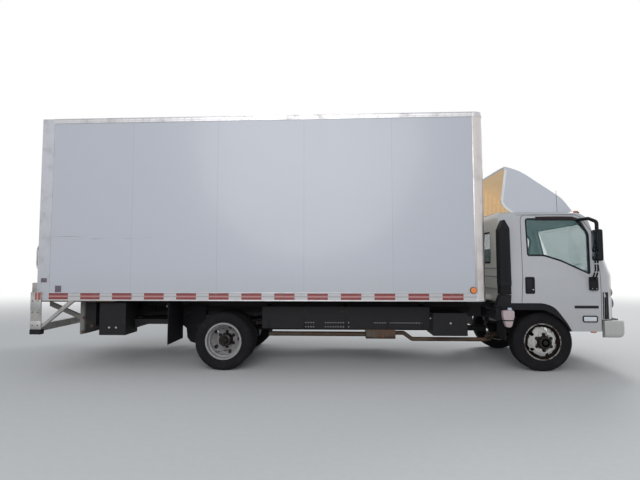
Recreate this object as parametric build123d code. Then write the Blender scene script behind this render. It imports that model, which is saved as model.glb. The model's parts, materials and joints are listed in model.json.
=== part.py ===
from build123d import *
import os
from math import cos, pi, sin, sqrt

os.makedirs("parts", exist_ok=True)

# A low-cab-forward box truck, in millimetres.
# +X points forward, +Y to the truck's left and +Z up.
# The origin is on the ground under the middle of the overall length.

# Lengths from the rear guards forward to the bumper, which add up to the overall length
GUARD_REACH = 81
BOX_LENGTH = 6272
CAB_GAP = 270
CAB_LENGTH = 1653
BUMPER_REACH = 100
OVERALL_LENGTH = GUARD_REACH + BOX_LENGTH + CAB_GAP + CAB_LENGTH + BUMPER_REACH
REAR_END = -OVERALL_LENGTH / 2
BOX_REAR = REAR_END + GUARD_REACH
BOX_FRONT = BOX_REAR + BOX_LENGTH
CAB_BACK = BOX_FRONT + CAB_GAP
CAB_FRONT = CAB_BACK + CAB_LENGTH
FRONT_END = CAB_FRONT + BUMPER_REACH

# Axles, which are 4470 apart
REAR_AXLE_INSET = 2625
FRONT_AXLE_INSET = 553
REAR_AXLE_X = BOX_REAR + REAR_AXLE_INSET
FRONT_AXLE_X = CAB_BACK + FRONT_AXLE_INSET

# Wheels and tyres
TYRE_RADIUS = 406
TYRE_WIDTH = 225
TYRE_FACETS = 40
FLANGE_RADIUS = 260
BEAD_RADIUS = 247
RIM_WIDTH = 178
RIM_WALL = 10
DISC_OFFSET = 127
DISC_WALL = 12
HUB_RADIUS = 82
DRUM_RADIUS = 140
LUG_COUNT = 6
LUG_CIRCLE_RADIUS = 111.125
LUG_RADIUS = 16
LUG_LENGTH = 26
HAND_HOLE_COUNT = 5
HAND_HOLE_RADIUS = 27
HAND_HOLE_CIRCLE_RADIUS = 182
FRONT_TRACK = 1665
REAR_TRACK = 1650
DUAL_SPACING = 2 * DISC_OFFSET
AXLE_Z = TYRE_RADIUS
SHAFT_CLEARANCE = 0.1

# Steering
KINGPIN_Y = 720
KINGPIN_RADIUS = 18
SPINDLE_RADIUS = 34
REAR_SPINDLE_RADIUS = 54

# Frame
FRAME_WIDTH = 864
RAIL_HEIGHT = 200
RAIL_FLANGE = 70
RAIL_WALL = 8
FRAME_TOP = 900
FRAME_REAR = REAR_END + 300
FRAME_FRONT = FRONT_END - 188
SPRING_Y = 390

# Freight box
BOX_WIDTH = 2438
BOX_BOTTOM = 985
BOX_TOP = 3591
REAR_POST_DEPTH = 175
REAR_POST_WIDTH = 95
FRONT_POST_DEPTH = 156
BOX_WALL = 36
RAIL_THICK = 40
SKIN_INSET = 3
TOP_RAIL_HEIGHT = 68
BOTTOM_RAIL_HEIGHT = 115
HEADER_HEIGHT = 190
DECK_TOP = 1130
DECK_THICK = 45
SILL_COUNT = 16
SILL_WIDTH = 56
DOOR_PANEL_COUNT = 7
DOOR_PANEL_THICK = 32
PLATE_Y = 620
PLATE_Z = 1058
PLATE_HOLE_SPACING = 178
PLATE_HOLE_RADIUS = 3.5

# Cab
CAB_WIDTH = 2064
CAB_WALL = 45
CAB_ROOF_TOP = 2290
CAB_SKIRT = 300
ROOF_EDGE_Y = 868
ROOF_EDGE_Z = 2235
BELT_Z = 1330
WINDSHIELD_LEAN = 0.36
CAB_BOW_RADIUS = 6000
ROOF_CROWN_RADIUS = 4000
CAB_FLOOR_Z = 1000
CAB_FLOOR_THICK = 40
FRONT_PANEL_BOTTOM = 728
DOOR_BOTTOM = 565
DOOR_TOP = 2185
ARCH_TOP = 950
DOOR_GAP = 8
DOOR_HINGE_X = CAB_FRONT - 345
DOOR_REAR_X = CAB_BACK + 250
FRONT_PANEL_REAR = FRONT_AXLE_X + 400
GLASS_THICK = 6
GLASS_INSET = 12
TRIM_THICK = 30

# Cab tilt
TILT_PIVOT_X = CAB_FRONT - 68
TILT_PIVOT_Z = 750
TILT_EYE_RADIUS = 20
TILT_PIN_RADIUS = 10

BOX_SIDE_Y = BOX_WIDTH / 2
CAB_SIDE_Y = CAB_WIDTH / 2
RAIL_OUTER_Y = FRAME_WIDTH / 2
FRAME_BOTTOM = FRAME_TOP - RAIL_HEIGHT
FRONT_WHEEL_Y = FRONT_TRACK / 2
REAR_WHEEL_Y = REAR_TRACK / 2
PAST_SIDE_Y = CAB_SIDE_Y + 60
PAST_ROOF_Z = CAB_ROOF_TOP + 100


def block(x_range, y_range, z_range):
    """A box between its low and high corners."""
    size = [high - low for low, high in (x_range, y_range, z_range)]
    middle = [(low + high) / 2 for low, high in (x_range, y_range, z_range)]
    return Pos(*middle) * Box(*size)


def outline(rows):
    """A closed flat outline from rows of (across, up, corner radius)."""
    points = [(across, up) for across, up, _ in rows]
    radii = [radius for _, _, radius in rows]
    return make_face(FilletPolyline(*points, radius=radii, close=True))


def side_prism(face, y_range):
    """A flat X-Z outline carried across the truck."""
    low, high = y_range
    return extrude(Plane.XZ.offset(-high) * face, high - low, dir=(0, -1, 0))


def plan_prism(face, z_range):
    """A flat X-Y outline carried up."""
    low, high = z_range
    return extrude(Pos(0, 0, low) * face, high - low, dir=(0, 0, 1))


def front_prism(face, x_range):
    """A flat Y-Z outline carried along the truck."""
    low, high = x_range
    return extrude(Plane.YZ.offset(low) * face, high - low, dir=(1, 0, 0))


def rod_y(x, y_range, z, radius):
    """A round bar across the truck."""
    low, high = y_range
    return Pos(x, (low + high) / 2, z) * Rot(90, 0, 0) * Cylinder(radius, high - low)


def rod_x(x_range, y, z, radius):
    """A round bar along the truck."""
    low, high = x_range
    return Pos((low + high) / 2, y, z) * Rot(0, 90, 0) * Cylinder(radius, high - low)


def rod_z(x, y, z_range, radius):
    """An upright round bar."""
    low, high = z_range
    return Pos(x, y, (low + high) / 2) * Cylinder(radius, high - low)


def tube(points, radius, bend):
    """A round bar along straight runs with bends of one radius."""
    path = FilletPolyline(*points, radius=bend)
    start = Vector(*points[0])
    return sweep(Plane(start, z_dir=Vector(*points[1]) - start) * Circle(radius), path=path)


def both_sides(shape):
    """The shape and its mirror image on the other side."""
    return shape + mirror(shape, about=Plane.XZ)


def write(name, shape):
    """Writes one sub-part's STEP file."""
    export_step(Compound(children=list(shape.solids())), f"parts/{name}.step")


def write_pair(name, right):
    """Writes a sub-part of the right side and its mirror image on the left."""
    write(f"{name}_right", right)
    write(f"{name}_left", mirror(right, about=Plane.XZ))


def drawn_in(face, inset):
    """An outline drawn in all round by an inset, or the same outline for none."""
    return offset(face, -inset, kind=Kind.INTERSECTION) if inset else face


def cab_plan(inset):
    """The cab's plan outline at its belt, drawn in by an inset, or grown by a negative one."""
    side_y = CAB_SIDE_Y + 8
    corner_y = 800
    plan = outline([  # x, y, corner radius
        (CAB_BACK, side_y, 120),
        (CAB_FRONT - 246, side_y, 230),
        (CAB_FRONT - 46, corner_y, 420),
        (CAB_FRONT + 4, 0, CAB_BOW_RADIUS),
        (CAB_FRONT - 46, -corner_y, 420),
        (CAB_FRONT - 246, -side_y, 230),
        (CAB_BACK, -side_y, 120),
    ])
    return drawn_in(plan, inset)


def cab_form(inset):
    """The cab's outer form drawn in by an inset: side, front and plan outlines meet in it."""
    roof_slope_length = 1000
    side = outline([  # x, z, corner radius
        (CAB_BACK, CAB_SKIRT, 0),
        (CAB_BACK, CAB_ROOF_TOP, 170),
        (CAB_FRONT - 600, CAB_ROOF_TOP, 340),
        (CAB_FRONT - 600 + roof_slope_length, CAB_ROOF_TOP - 780, 0),
        (CAB_FRONT - 600 + roof_slope_length, CAB_SKIRT, 0),
    ])
    section = outline([  # y, z, corner radius
        (-CAB_SIDE_Y + 22, CAB_SKIRT, 0),
        (-CAB_SIDE_Y, BELT_Z - 280, 600),
        (-CAB_SIDE_Y, BELT_Z - 30, 500),
        (-ROOF_EDGE_Y, ROOF_EDGE_Z, 95),
        (0, CAB_ROOF_TOP, ROOF_CROWN_RADIUS),
        (ROOF_EDGE_Y, ROOF_EDGE_Z, 95),
        (CAB_SIDE_Y, BELT_Z - 30, 500),
        (CAB_SIDE_Y, BELT_Z - 280, 600),
        (CAB_SIDE_Y - 22, CAB_SKIRT, 0),
    ])
    rear = outline([  # x, y, corner radius
        (CAB_BACK, CAB_SIDE_Y + 8, 120),
        (FRONT_END, CAB_SIDE_Y + 8, 0),
        (FRONT_END, -CAB_SIDE_Y - 8, 0),
        (CAB_BACK, -CAB_SIDE_Y - 8, 120),
    ])
    plan = cab_plan(inset)
    lower = plan_prism(plan, (CAB_SKIRT, BELT_Z))
    lean = Vector(-WINDSHIELD_LEAN, 0, 1)
    upper = extrude(Pos(0, 0, BELT_Z) * plan, (PAST_ROOF_Z - BELT_Z) * lean.length, dir=lean)
    upper = upper & plan_prism(drawn_in(rear, inset), (BELT_Z, PAST_ROOF_Z))
    front = front_prism(drawn_in(section, inset), (CAB_BACK - 50, CAB_FRONT + 400))
    return (lower + upper) & front & side_prism(drawn_in(side, inset), (-PAST_SIDE_Y, PAST_SIDE_Y))


OUTER = cab_form(0)
INNER = cab_form(CAB_WALL)
SHELL = OUTER - INNER
SKIN = OUTER - cab_form(TRIM_THICK)

DOOR_OUTLINE = [  # x, z, corner radius
    (DOOR_REAR_X, ARCH_TOP, 0),
    (DOOR_REAR_X + 71, DOOR_TOP, 70),
    (CAB_FRONT - 528, DOOR_TOP, 120),
    (CAB_FRONT - 370, DOOR_TOP - 250, 180),
    (DOOR_HINGE_X, DOOR_TOP - 685, 300),
    (DOOR_HINGE_X, DOOR_BOTTOM, 0),
    (FRONT_AXLE_X + 364, DOOR_BOTTOM, 0),
    (FRONT_AXLE_X + 302, 679, 300),
    (FRONT_AXLE_X + 140, 895, 260),
    (FRONT_AXLE_X - 10, ARCH_TOP, 300),
]
WINDOW_OUTLINE = [  # x, z, corner radius
    (DOOR_REAR_X + 105, 1598, 35),
    (DOOR_REAR_X + 127, DOOR_TOP - 40, 45),
    (CAB_FRONT - 561, DOOR_TOP - 38, 90),
    (CAB_FRONT - 412, DOOR_TOP - 255, 170),
    (CAB_FRONT - 467, BELT_Z + 5, 25),
    (CAB_FRONT - 838, 1520, 500),
    (CAB_FRONT - 1068, 1598, 260),
]
ROOF_SPLIT_Z = DOOR_TOP + DOOR_GAP
LINER_Y = CAB_SIDE_Y - 47
WHEEL_ROOM = rod_y(FRONT_AXLE_X, (-LINER_Y, LINER_Y), AXLE_Z, TYRE_RADIUS + 28)
DOOR_SIDE = (-PAST_SIDE_Y, -600)
CAB_ACROSS = (-PAST_SIDE_Y, PAST_SIDE_Y)


def door_opening(grow):
    """The door's outline grown all round, through the cab's side on the -Y side."""
    return side_prism(drawn_in(outline(DOOR_OUTLINE), -grow), DOOR_SIDE)


def side_wall(outer_inset, inner_inset):
    """A layer of the cab's side on the -Y side, between two insets."""
    layer = cab_form(outer_inset) if outer_inset else OUTER
    keep = layer & block((CAB_BACK, FRONT_END), DOOR_SIDE, (CAB_SKIRT, CAB_ROOF_TOP))
    section = outline([  # y, z, corner radius
        (-CAB_SIDE_Y + 22 + inner_inset, CAB_SKIRT, 0),
        (-CAB_SIDE_Y + inner_inset, BELT_Z - 280, 600),
        (-CAB_SIDE_Y + inner_inset, BELT_Z - 30, 500),
        (-ROOF_EDGE_Y + inner_inset, ROOF_EDGE_Z, 0),
        (0, ROOF_EDGE_Z, 0),
        (0, CAB_SKIRT, 0),
    ])
    return keep - front_prism(section, (CAB_BACK - 50, FRONT_END))


def make_doors():
    """Each door is its share of the cab's side wall, with its window cut."""
    window = side_prism(outline(WINDOW_OUTLINE), DOOR_SIDE)
    write_pair("door", (side_wall(0, CAB_WALL) & door_opening(0)) - window - WHEEL_ROOM)
    write_pair("door_glass", side_wall(GLASS_INSET, GLASS_INSET + GLASS_THICK) & window)


def make_mirrors():
    """A tall head under a curved arm from the door's top, with two tubes up from a base below."""
    head_x = (CAB_FRONT - 522, CAB_FRONT - 452)
    head_y = (-CAB_SIDE_Y - 293, -CAB_SIDE_Y - 123)
    head_z = (1528, 1948)
    head = block(head_x, head_y, head_z)
    parts = fillet(head.edges(), 26)
    base_x = (CAB_FRONT - 500, CAB_FRONT - 394)
    base_z = (1125, 1312)
    base = block(base_x, (-CAB_SIDE_Y - 38, -CAB_SIDE_Y + 1), base_z)
    parts += fillet(base.edges().filter_by(Axis.Y), 20)
    tube_y = head_y[1] - 50
    tube_rows = [  # x at the head, x at the base
        (head_x[0] + 18, base_x[0] + 30),
        (head_x[1] - 18, base_x[1] - 30),
    ]
    for top_x, low_x in tube_rows:
        parts += tube([(top_x, tube_y, head_z[0] + 20), (top_x, tube_y, 1400),
                       (low_x, -CAB_SIDE_Y - 16, base_z[1] - 60)], 11, 40)
    arm_x = (head_x[0] + head_x[1]) / 2
    arm_z = DOOR_TOP - 72
    arm_y = (head_y[0] + head_y[1]) / 2
    root_x = arm_x - 50
    parts += tube([(root_x, -ROOF_EDGE_Y, arm_z), (root_x + 20, -CAB_SIDE_Y - 70, arm_z),
                   (arm_x, arm_y, arm_z - 60), (arm_x, arm_y, head_z[1] - 20)], 23, 50)
    write_pair("mirror", parts - side_wall(0, CAB_WALL))


WINDSHIELD_OUTLINE = [  # y, z, corner radius
    (-905, BELT_Z + 35, 40),
    (-800, 2092, 60),
    (800, 2092, 60),
    (905, BELT_Z + 35, 40),
]
REAR_WINDOW_OUTLINE = [  # y, z, corner radius
    (-560, 1500, 60),
    (-560, 1980, 60),
    (560, 1980, 60),
    (560, 1500, 60),
]
GRILLE_OUTLINE = [  # y, z, corner radius
    (-560, 880, 30),
    (-560, 1060, 30),
    (560, 1060, 30),
    (560, 880, 30),
]
LAMP_OUTLINE = [  # y, z, corner radius
    (-990, 1043, 0),
    (-990, 1182, 0),
    (-800, 1182, 60),
    (-640, 1060, 60),
    (-640, 830, 40),
    (-850, 830, 40),
    (-880, 1043, 30),
]


def make_cab_shell():
    """The cab's back, roof and front are what the door openings and the roof seam leave."""
    doors = both_sides(door_opening(DOOR_GAP))
    pillar_x = DOOR_REAR_X + 200
    low_back = block((CAB_BACK - 10, pillar_x), CAB_ACROSS, (0, ARCH_TOP))
    low_front = block((pillar_x, FRONT_END), CAB_ACROSS, (0, FRONT_PANEL_BOTTOM))
    above = block((CAB_BACK - 10, FRONT_END), CAB_ACROSS, (ROOF_SPLIT_Z, PAST_ROOF_Z))
    walls = SHELL - above - doors - low_back - low_front
    rear_window = front_prism(outline(REAR_WINDOW_OUTLINE), (CAB_BACK - 10, CAB_BACK + 100))
    back = (walls & block((CAB_BACK - 10, pillar_x - 10), CAB_ACROSS, (0, PAST_ROOF_Z))) - rear_window
    write("cab_back", back)
    write("cab_roof", SHELL & above)
    front_x = (FRONT_PANEL_REAR, FRONT_END)
    shield = front_prism(outline(WINDSHIELD_OUTLINE), front_x)
    layer = cab_form(GLASS_INSET) - cab_form(GLASS_INSET + GLASS_THICK)
    write("windshield", layer & shield & block(front_x, CAB_ACROSS, (BELT_Z, ROOF_SPLIT_Z)))
    write("rear_window", layer & rear_window)
    grille_room = SKIN & front_prism(outline(GRILLE_OUTLINE), (CAB_FRONT - 200, FRONT_END))
    lamp_room = SKIN & both_sides(front_prism(outline(LAMP_OUTLINE), (CAB_FRONT - 190, FRONT_END)))
    slots = Part()
    for z in (905, 955, 1005):
        slots += block((CAB_FRONT - 200, FRONT_END), (-520, 520), (z, z + 30))
    write("grille", grille_room - slots)
    write("head_lamps", lamp_room)
    hinge_room = both_sides(block((CAB_FRONT - 140, TILT_PIVOT_X + TILT_EYE_RADIUS + 6), (-520, -340),
                                  (FRONT_PANEL_BOTTOM - 1, 900)))
    groove = both_sides(block((DOOR_HINGE_X + 45, DOOR_HINGE_X + 70), (-PAST_SIDE_Y, -CAB_SIDE_Y + 28),
                              (FRONT_PANEL_BOTTOM - 1, 1035)))
    front = walls & block(front_x, CAB_ACROSS, (0, PAST_ROOF_Z))
    write("cab_front", front - shield - hinge_room - groove - grille_room - lamp_room)


def make_cab_floor():
    """The floor pan with its engine hump, door steps and the two hinge arms in front."""
    floor_top = CAB_FLOOR_Z + CAB_FLOOR_THICK
    hump_wall = 10
    hump_x = (CAB_BACK + 120, CAB_BACK + 1060)
    hump_y = 340
    hump = block(hump_x, (-hump_y, hump_y), (CAB_FLOOR_Z, CAB_FLOOR_Z + 130))
    tunnel = block((hump_x[0] + hump_wall, hump_x[1] - hump_wall), (-hump_y + hump_wall, hump_y - hump_wall),
                   (CAB_FLOOR_Z - 1, CAB_FLOOR_Z + 130 - hump_wall))
    pan_gap = 12
    pan_y = CAB_SIDE_Y - CAB_WALL - pan_gap
    pan = INNER & block((CAB_BACK, CAB_FRONT), (-pan_y, pan_y), (CAB_FLOOR_Z, floor_top))
    step_x = (FRONT_AXLE_X + 440, DOOR_HINGE_X - 20)
    step = block(step_x, (-CAB_SIDE_Y + 62, -770), (620, 645))
    step += block(step_x, (-780, -770), (645, CAB_FLOOR_Z + 1))
    cut_out = block(step_x, (-CAB_SIDE_Y + CAB_WALL, -780), (CAB_FLOOR_Z - 1, floor_top + 1))
    eye = TILT_EYE_RADIUS
    arm = side_prism(outline([  # x, z, corner radius
        (TILT_PIVOT_X - eye, TILT_PIVOT_Z - eye, 18),
        (TILT_PIVOT_X + eye, TILT_PIVOT_Z - eye, 18),
        (TILT_PIVOT_X + eye, TILT_PIVOT_Z + 25, 18),
        (TILT_PIVOT_X - 60, CAB_FLOOR_Z + 1, 0),
        (TILT_PIVOT_X - 220, CAB_FLOOR_Z + 1, 0),
    ]), (-RAIL_OUTER_Y - 58, -RAIL_OUTER_Y - 10))
    arm -= rod_y(TILT_PIVOT_X, (-RAIL_OUTER_Y - 68, -RAIL_OUTER_Y), TILT_PIVOT_Z,
                 TILT_PIN_RADIUS + SHAFT_CLEARANCE)
    write("cab_floor", (pan - tunnel - both_sides(cut_out)) + (hump - tunnel) + both_sides(step + arm))


def make_wheel_arches():
    """The black band under the door's arch with the liner over the wheel that carries it."""
    band_rear = CAB_BACK + 85
    band_low = ARCH_TOP - 92
    band_top = ARCH_TOP - DOOR_GAP
    band = side_prism(outline([  # x, z, corner radius
        (band_rear, band_top, 0),
        (FRONT_AXLE_X - 14, band_top, 290),
        (FRONT_AXLE_X + 134, 887, 250),
        (FRONT_AXLE_X + 295, 674, 290),
        (FRONT_AXLE_X + 352, DOOR_BOTTOM, 0),
        (FRONT_AXLE_X + 334, DOOR_BOTTOM, 0),
        (FRONT_AXLE_X + 276, 680, 280),
        (FRONT_AXLE_X + 118, 800, 160),
        (FRONT_AXLE_X - 5, band_low, 200),
        (band_rear, band_low, 0),
    ]), (-LINER_Y, -CAB_SIDE_Y + 4))
    liner_x = (DOOR_REAR_X - 20, FRONT_AXLE_X + 20)
    liner_wall = 10
    liner_y = 570
    liner = block(liner_x, (-LINER_Y, -liner_y + liner_wall), (band_low, band_low + liner_wall))
    liner += block(liner_x, (-liner_y, -liner_y + liner_wall), (band_low + liner_wall, CAB_FLOOR_Z))
    write("wheel_arches", both_sides(band + liner))


def make_seats():
    """A driver's seat and a double seat: cushions and backs."""
    base_z = CAB_FLOOR_Z + 132
    cushion_thick = 150
    places = [  # y low, y high
        (330, 850),
        (-850, 200),
    ]
    seats = Part()
    for low, high in places:
        cushion = block((CAB_BACK + 330, CAB_BACK + 830), (low, high), (base_z, base_z + cushion_thick))
        back = side_prism(outline([  # x, z, corner radius
            (CAB_BACK + 250, base_z, 20),
            (CAB_BACK + 130, base_z + 640, 30),
            (CAB_BACK + 230, base_z + 650, 40),
            (CAB_BACK + 360, base_z, 20),
        ]), (low, high))
        leg = block((CAB_BACK + 360, CAB_BACK + 800), (low + 30, high - 30),
                    (CAB_FLOOR_Z + CAB_FLOOR_THICK, base_z))
        seats += cushion + back + leg
    hump = block((CAB_BACK + 110, CAB_BACK + 1070), (-342, 342), (CAB_FLOOR_Z, base_z - 1))
    write("seats", seats - hump)


def make_dashboard():
    """The instrument panel across the cab, with the steering wheel on its column."""
    panel = side_prism(outline([  # x, z, corner radius
        (CAB_FRONT - 400, 1130, 40),
        (CAB_FRONT - 380, 1400, 60),
        (CAB_FRONT - 60, 1400, 20),
        (CAB_FRONT - 60, 1130, 0),
    ]), (-CAB_SIDE_Y + CAB_WALL + 30, CAB_SIDE_Y - CAB_WALL - 30)) & INNER
    column_length = 260
    centre = Pos(CAB_FRONT - 560, 540, 1440) * Rot(0, -35, 0)
    wheel = centre * (Torus(205, 14) + Box(390, 34, 16) + Cylinder(50, 40))
    column = centre * Pos(0, 0, -column_length / 2) * Cylinder(26, column_length)
    write("dashboard", panel + wheel + (column - panel))


def make_deflector():
    """A hollow roof fairing, open behind and below, sitting on the roof."""
    wall = 24
    top_rows = [  # x, z, corner radius
        (CAB_BACK + 178, 2937, 0),
        (CAB_BACK + 409, 2840, 900),
        (CAB_BACK + 967, 2439, 700),
        (CAB_BACK + 1160, 2208, 0),
    ]
    foot_rows = [  # x, z, corner radius
        (CAB_BACK + 290, 2208, 0),
        (CAB_BACK + 190, 2272, 120),
        (CAB_BACK + 89, 2384, 60),
    ]
    behind_x = CAB_BACK - 250
    plan = outline([  # x, y, corner radius
        (behind_x, -790, 0),
        (CAB_BACK + 883, -790, 90),
        (CAB_BACK + 1200, -725, 0),
        (CAB_BACK + 1200, 725, 0),
        (CAB_BACK + 883, 790, 90),
        (behind_x, 790, 0),
    ])
    section = outline([  # y, z, corner radius
        (-790, 1900, 0),
        (-790, 2200, 0),
        (-752, 2962, 120),
        (752, 2962, 120),
        (790, 2200, 0),
        (790, 1900, 0),
    ])
    outer = side_prism(outline(top_rows + foot_rows), CAB_ACROSS)
    outer = outer & plan_prism(plan, (1900, 3000)) & front_prism(section, (behind_x, FRONT_END))
    hollow_rows = [(x - wall - 2, z - wall, radius) for x, z, radius in top_rows]
    hollow_rows += [(CAB_BACK + 1090, 2000, 0), (behind_x, 2000, 0), (behind_x, 2937 - wall, 0)]
    hollow = side_prism(outline(hollow_rows), CAB_ACROSS)
    hollow = hollow & plan_prism(drawn_in(plan, wall), (1900, 3000))
    hollow = hollow & front_prism(drawn_in(section, wall), (behind_x, FRONT_END))
    mouth = block((behind_x, CAB_BACK + 400), (-790 + wall, 790 - wall), (2000, 2300))
    write("roof_deflector", outer - hollow - mouth - OUTER)


SNORKEL_Y = (-CAB_SIDE_Y - 53, -CAB_SIDE_Y + 82)
SNORKEL_X = (CAB_BACK - 58, CAB_BACK + 92)
NECK_Y = (SNORKEL_Y[0] + 7, SNORKEL_Y[1] - 7)
NECK_BOTTOM = 1072


def make_snorkel():
    """The upright air intake behind the cab, above its bellows, cut clear of the cab's corner."""
    body = side_prism(outline([  # x, z, corner radius
        (SNORKEL_X[0], 1190, 0),
        (SNORKEL_X[0], 1965, 40),
        (CAB_BACK + 10, 2122, 14),
        (SNORKEL_X[1] - 8, 1985, 60),
        (SNORKEL_X[1], 1190, 0),
    ]), SNORKEL_Y)
    neck = block((SNORKEL_X[0] + 4, SNORKEL_X[1] - 4), NECK_Y, (NECK_BOTTOM, 1190))
    write("snorkel", (body + neck) - plan_prism(cab_plan(-3), (CAB_SKIRT, PAST_ROOF_Z)))


def make_frame():
    """Two channel rails with cross members, and the cab's hinge brackets at the front."""
    rail = block((FRAME_REAR, FRAME_FRONT), (-RAIL_OUTER_Y, -RAIL_OUTER_Y + RAIL_FLANGE),
                 (FRAME_BOTTOM, FRAME_TOP))
    rail -= block((FRAME_REAR - 1, FRAME_FRONT + 1),
                  (-RAIL_OUTER_Y + RAIL_WALL, -RAIL_OUTER_Y + RAIL_FLANGE + 1),
                  (FRAME_BOTTOM + RAIL_WALL, FRAME_TOP - RAIL_WALL))
    pin_wall = TILT_PIN_RADIUS + 3
    bracket = block((FRAME_FRONT - 100, TILT_PIVOT_X + pin_wall),
                    (-RAIL_OUTER_Y + RAIL_WALL, -RAIL_OUTER_Y + 40),
                    (TILT_PIVOT_Z - pin_wall, TILT_PIVOT_Z + 60))
    pin = rod_y(TILT_PIVOT_X, (-RAIL_OUTER_Y - 63, -RAIL_OUTER_Y + 10), TILT_PIVOT_Z, TILT_PIN_RADIUS)
    frame = both_sides(rail + bracket + pin)
    cross_places = [
        FRAME_REAR + 60,
        REAR_AXLE_X - 1118,
        REAR_AXLE_X,
        REAR_AXLE_X + 1182,
        CAB_BACK - 1535,
        CAB_BACK - 335,
        FRAME_FRONT - 240,
    ]
    for x in cross_places:
        frame += block((x - 40, x + 40), (-RAIL_OUTER_Y + RAIL_WALL, RAIL_OUTER_Y - RAIL_WALL),
                       (FRAME_BOTTOM + 60, FRAME_TOP - 30))
    write("frame_rails", frame)


def spring_pack(axle_x, half_length, seat_z):
    """One leaf spring with its two hangers up to the rail."""
    eye_z = FRAME_BOTTOM - 45
    end_thick = 22
    pack_thick = 62
    spring_y = (-SPRING_Y - 35, -SPRING_Y + 35)
    spring = side_prism(outline([  # x, z, corner radius
        (axle_x - half_length, eye_z, 0),
        (axle_x, seat_z, 2600),
        (axle_x + half_length, eye_z, 0),
        (axle_x + half_length, eye_z - end_thick, 0),
        (axle_x, seat_z - pack_thick, 2200),
        (axle_x - half_length, eye_z - end_thick, 0),
    ]), spring_y)
    for end in (-1, 1):
        x = axle_x + end * (half_length - 30)
        spring += block((x - 35, x + 35), spring_y, (eye_z - 15, FRAME_BOTTOM))
    return spring


def make_front_axle():
    """A beam with upright kingpin eyes at its ends, hung on two leaf springs."""
    eye_z = (AXLE_Z - 65, AXLE_Z + 65)
    seat_z = FRAME_BOTTOM - 160
    beam = block((FRONT_AXLE_X - 32, FRONT_AXLE_X + 32), (-KINGPIN_Y + 20, KINGPIN_Y - 20),
                 (AXLE_Z - 45, AXLE_Z + 45))
    beam -= both_sides(block((FRONT_AXLE_X - 33, FRONT_AXLE_X - 10), (-600, -10), (AXLE_Z - 25, AXLE_Z + 25)))
    eyes = both_sides(rod_z(FRONT_AXLE_X, -KINGPIN_Y, eye_z, 38))
    bores = both_sides(rod_z(FRONT_AXLE_X, -KINGPIN_Y, (eye_z[0] - 1, eye_z[1] + 1),
                             KINGPIN_RADIUS + SHAFT_CLEARANCE))
    pads = both_sides(block((FRONT_AXLE_X - 60, FRONT_AXLE_X + 60), (-SPRING_Y - 35, -SPRING_Y + 35),
                            (AXLE_Z + 40, seat_z + 22)))
    springs = both_sides(spring_pack(FRONT_AXLE_X, 620, seat_z))
    write("front_axle", (beam + eyes + pads + springs) - bores)


def make_rear_axle():
    """A tube housing with its round differential, on leaf springs, with the drive shaft."""
    seat_z = FRAME_BOTTOM - 145
    housing = rod_y(REAR_AXLE_X, (-640, 640), AXLE_Z, 72)
    spindle = rod_y(REAR_AXLE_X, (-REAR_WHEEL_Y - 105, REAR_WHEEL_Y + 105), AXLE_Z, REAR_SPINDLE_RADIUS)
    bowl = rod_y(REAR_AXLE_X, (-95, 95), AXLE_Z, 185)
    nose = rod_x((REAR_AXLE_X, REAR_AXLE_X + 330), 0, AXLE_Z + 20, 95)
    shaft = rod_x((REAR_AXLE_X + 300, CAB_BACK + 65), 0, AXLE_Z + 60, 45)
    pads = both_sides(block((REAR_AXLE_X - 70, REAR_AXLE_X + 70), (-SPRING_Y - 35, -SPRING_Y + 35),
                            (AXLE_Z + 50, seat_z + 7)))
    springs = both_sides(spring_pack(REAR_AXLE_X, 680, seat_z))
    write("rear_axle", housing + spindle + bowl + nose + shaft + pads + springs)


def make_engine():
    """The engine as one plain block under the cab."""
    write("engine_block", block((CAB_BACK + 200, CAB_BACK + 1020), (-310, 310),
                                (FRAME_BOTTOM - 140, CAB_FLOOR_Z + 95)))


def turned(rows):
    """A section with rows of (radius, along, corner radius) turned about the axle line, along on +Y."""
    return revolve(outline(rows), Axis.Y)


def make_rim():
    """A disc wheel about the origin, its axle on Y, its disc bulging to +Y."""
    half = RIM_WIDTH / 2
    lip = 8
    well = 20
    outside = [  # radius, along
        (FLANGE_RADIUS, half),
        (BEAD_RADIUS, half),
        (BEAD_RADIUS - 6, half - 45),
        (BEAD_RADIUS - 6 - well, half - 60),
    ]
    inside = [  # radius, along
        (BEAD_RADIUS - RIM_WALL - 6 - well, half - 64),
        (BEAD_RADIUS - RIM_WALL - 6, half - 50),
        (BEAD_RADIUS - RIM_WALL, half + lip),
    ]
    barrel = [(FLANGE_RADIUS, -half - lip, 0)]
    barrel += [(radius, -along, 0) for radius, along in outside]
    barrel += [(radius, along, 0) for radius, along in reversed(outside)]
    barrel += [(FLANGE_RADIUS, half + lip, 0)]
    barrel += [(radius, along, 0) for radius, along in reversed(inside)]
    barrel += [(radius, -along, 0) for radius, along in inside]
    disc = [  # radius, along, corner radius
        (HUB_RADIUS, DISC_OFFSET, 0),
        (150, DISC_OFFSET, 0),
        (206, DISC_OFFSET - 56, 60),
        (BEAD_RADIUS - 30, half - 60, 0),
        (BEAD_RADIUS - 30, half - 76, 0),
        (196, DISC_OFFSET - 74, 60),
        (144, DISC_OFFSET - DISC_WALL, 30),
        (HUB_RADIUS, DISC_OFFSET - DISC_WALL, 0),
    ]
    rim = turned(barrel) + turned(disc)
    for index in range(HAND_HOLE_COUNT):
        angle = 360 * index / HAND_HOLE_COUNT
        rim -= Rot(0, angle, 0) * rod_y(HAND_HOLE_CIRCLE_RADIUS, (40, 160), 0, HAND_HOLE_RADIUS)
    return rim


def lugs(face):
    """The wheel nuts on their circle, from a face outwards on +Y."""
    nuts = Part()
    for index in range(LUG_COUNT):
        angle = 360 * index / LUG_COUNT
        nuts += Rot(0, angle, 0) * rod_y(LUG_CIRCLE_RADIUS, (face, face + LUG_LENGTH), 0, LUG_RADIUS)
    return nuts


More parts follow.
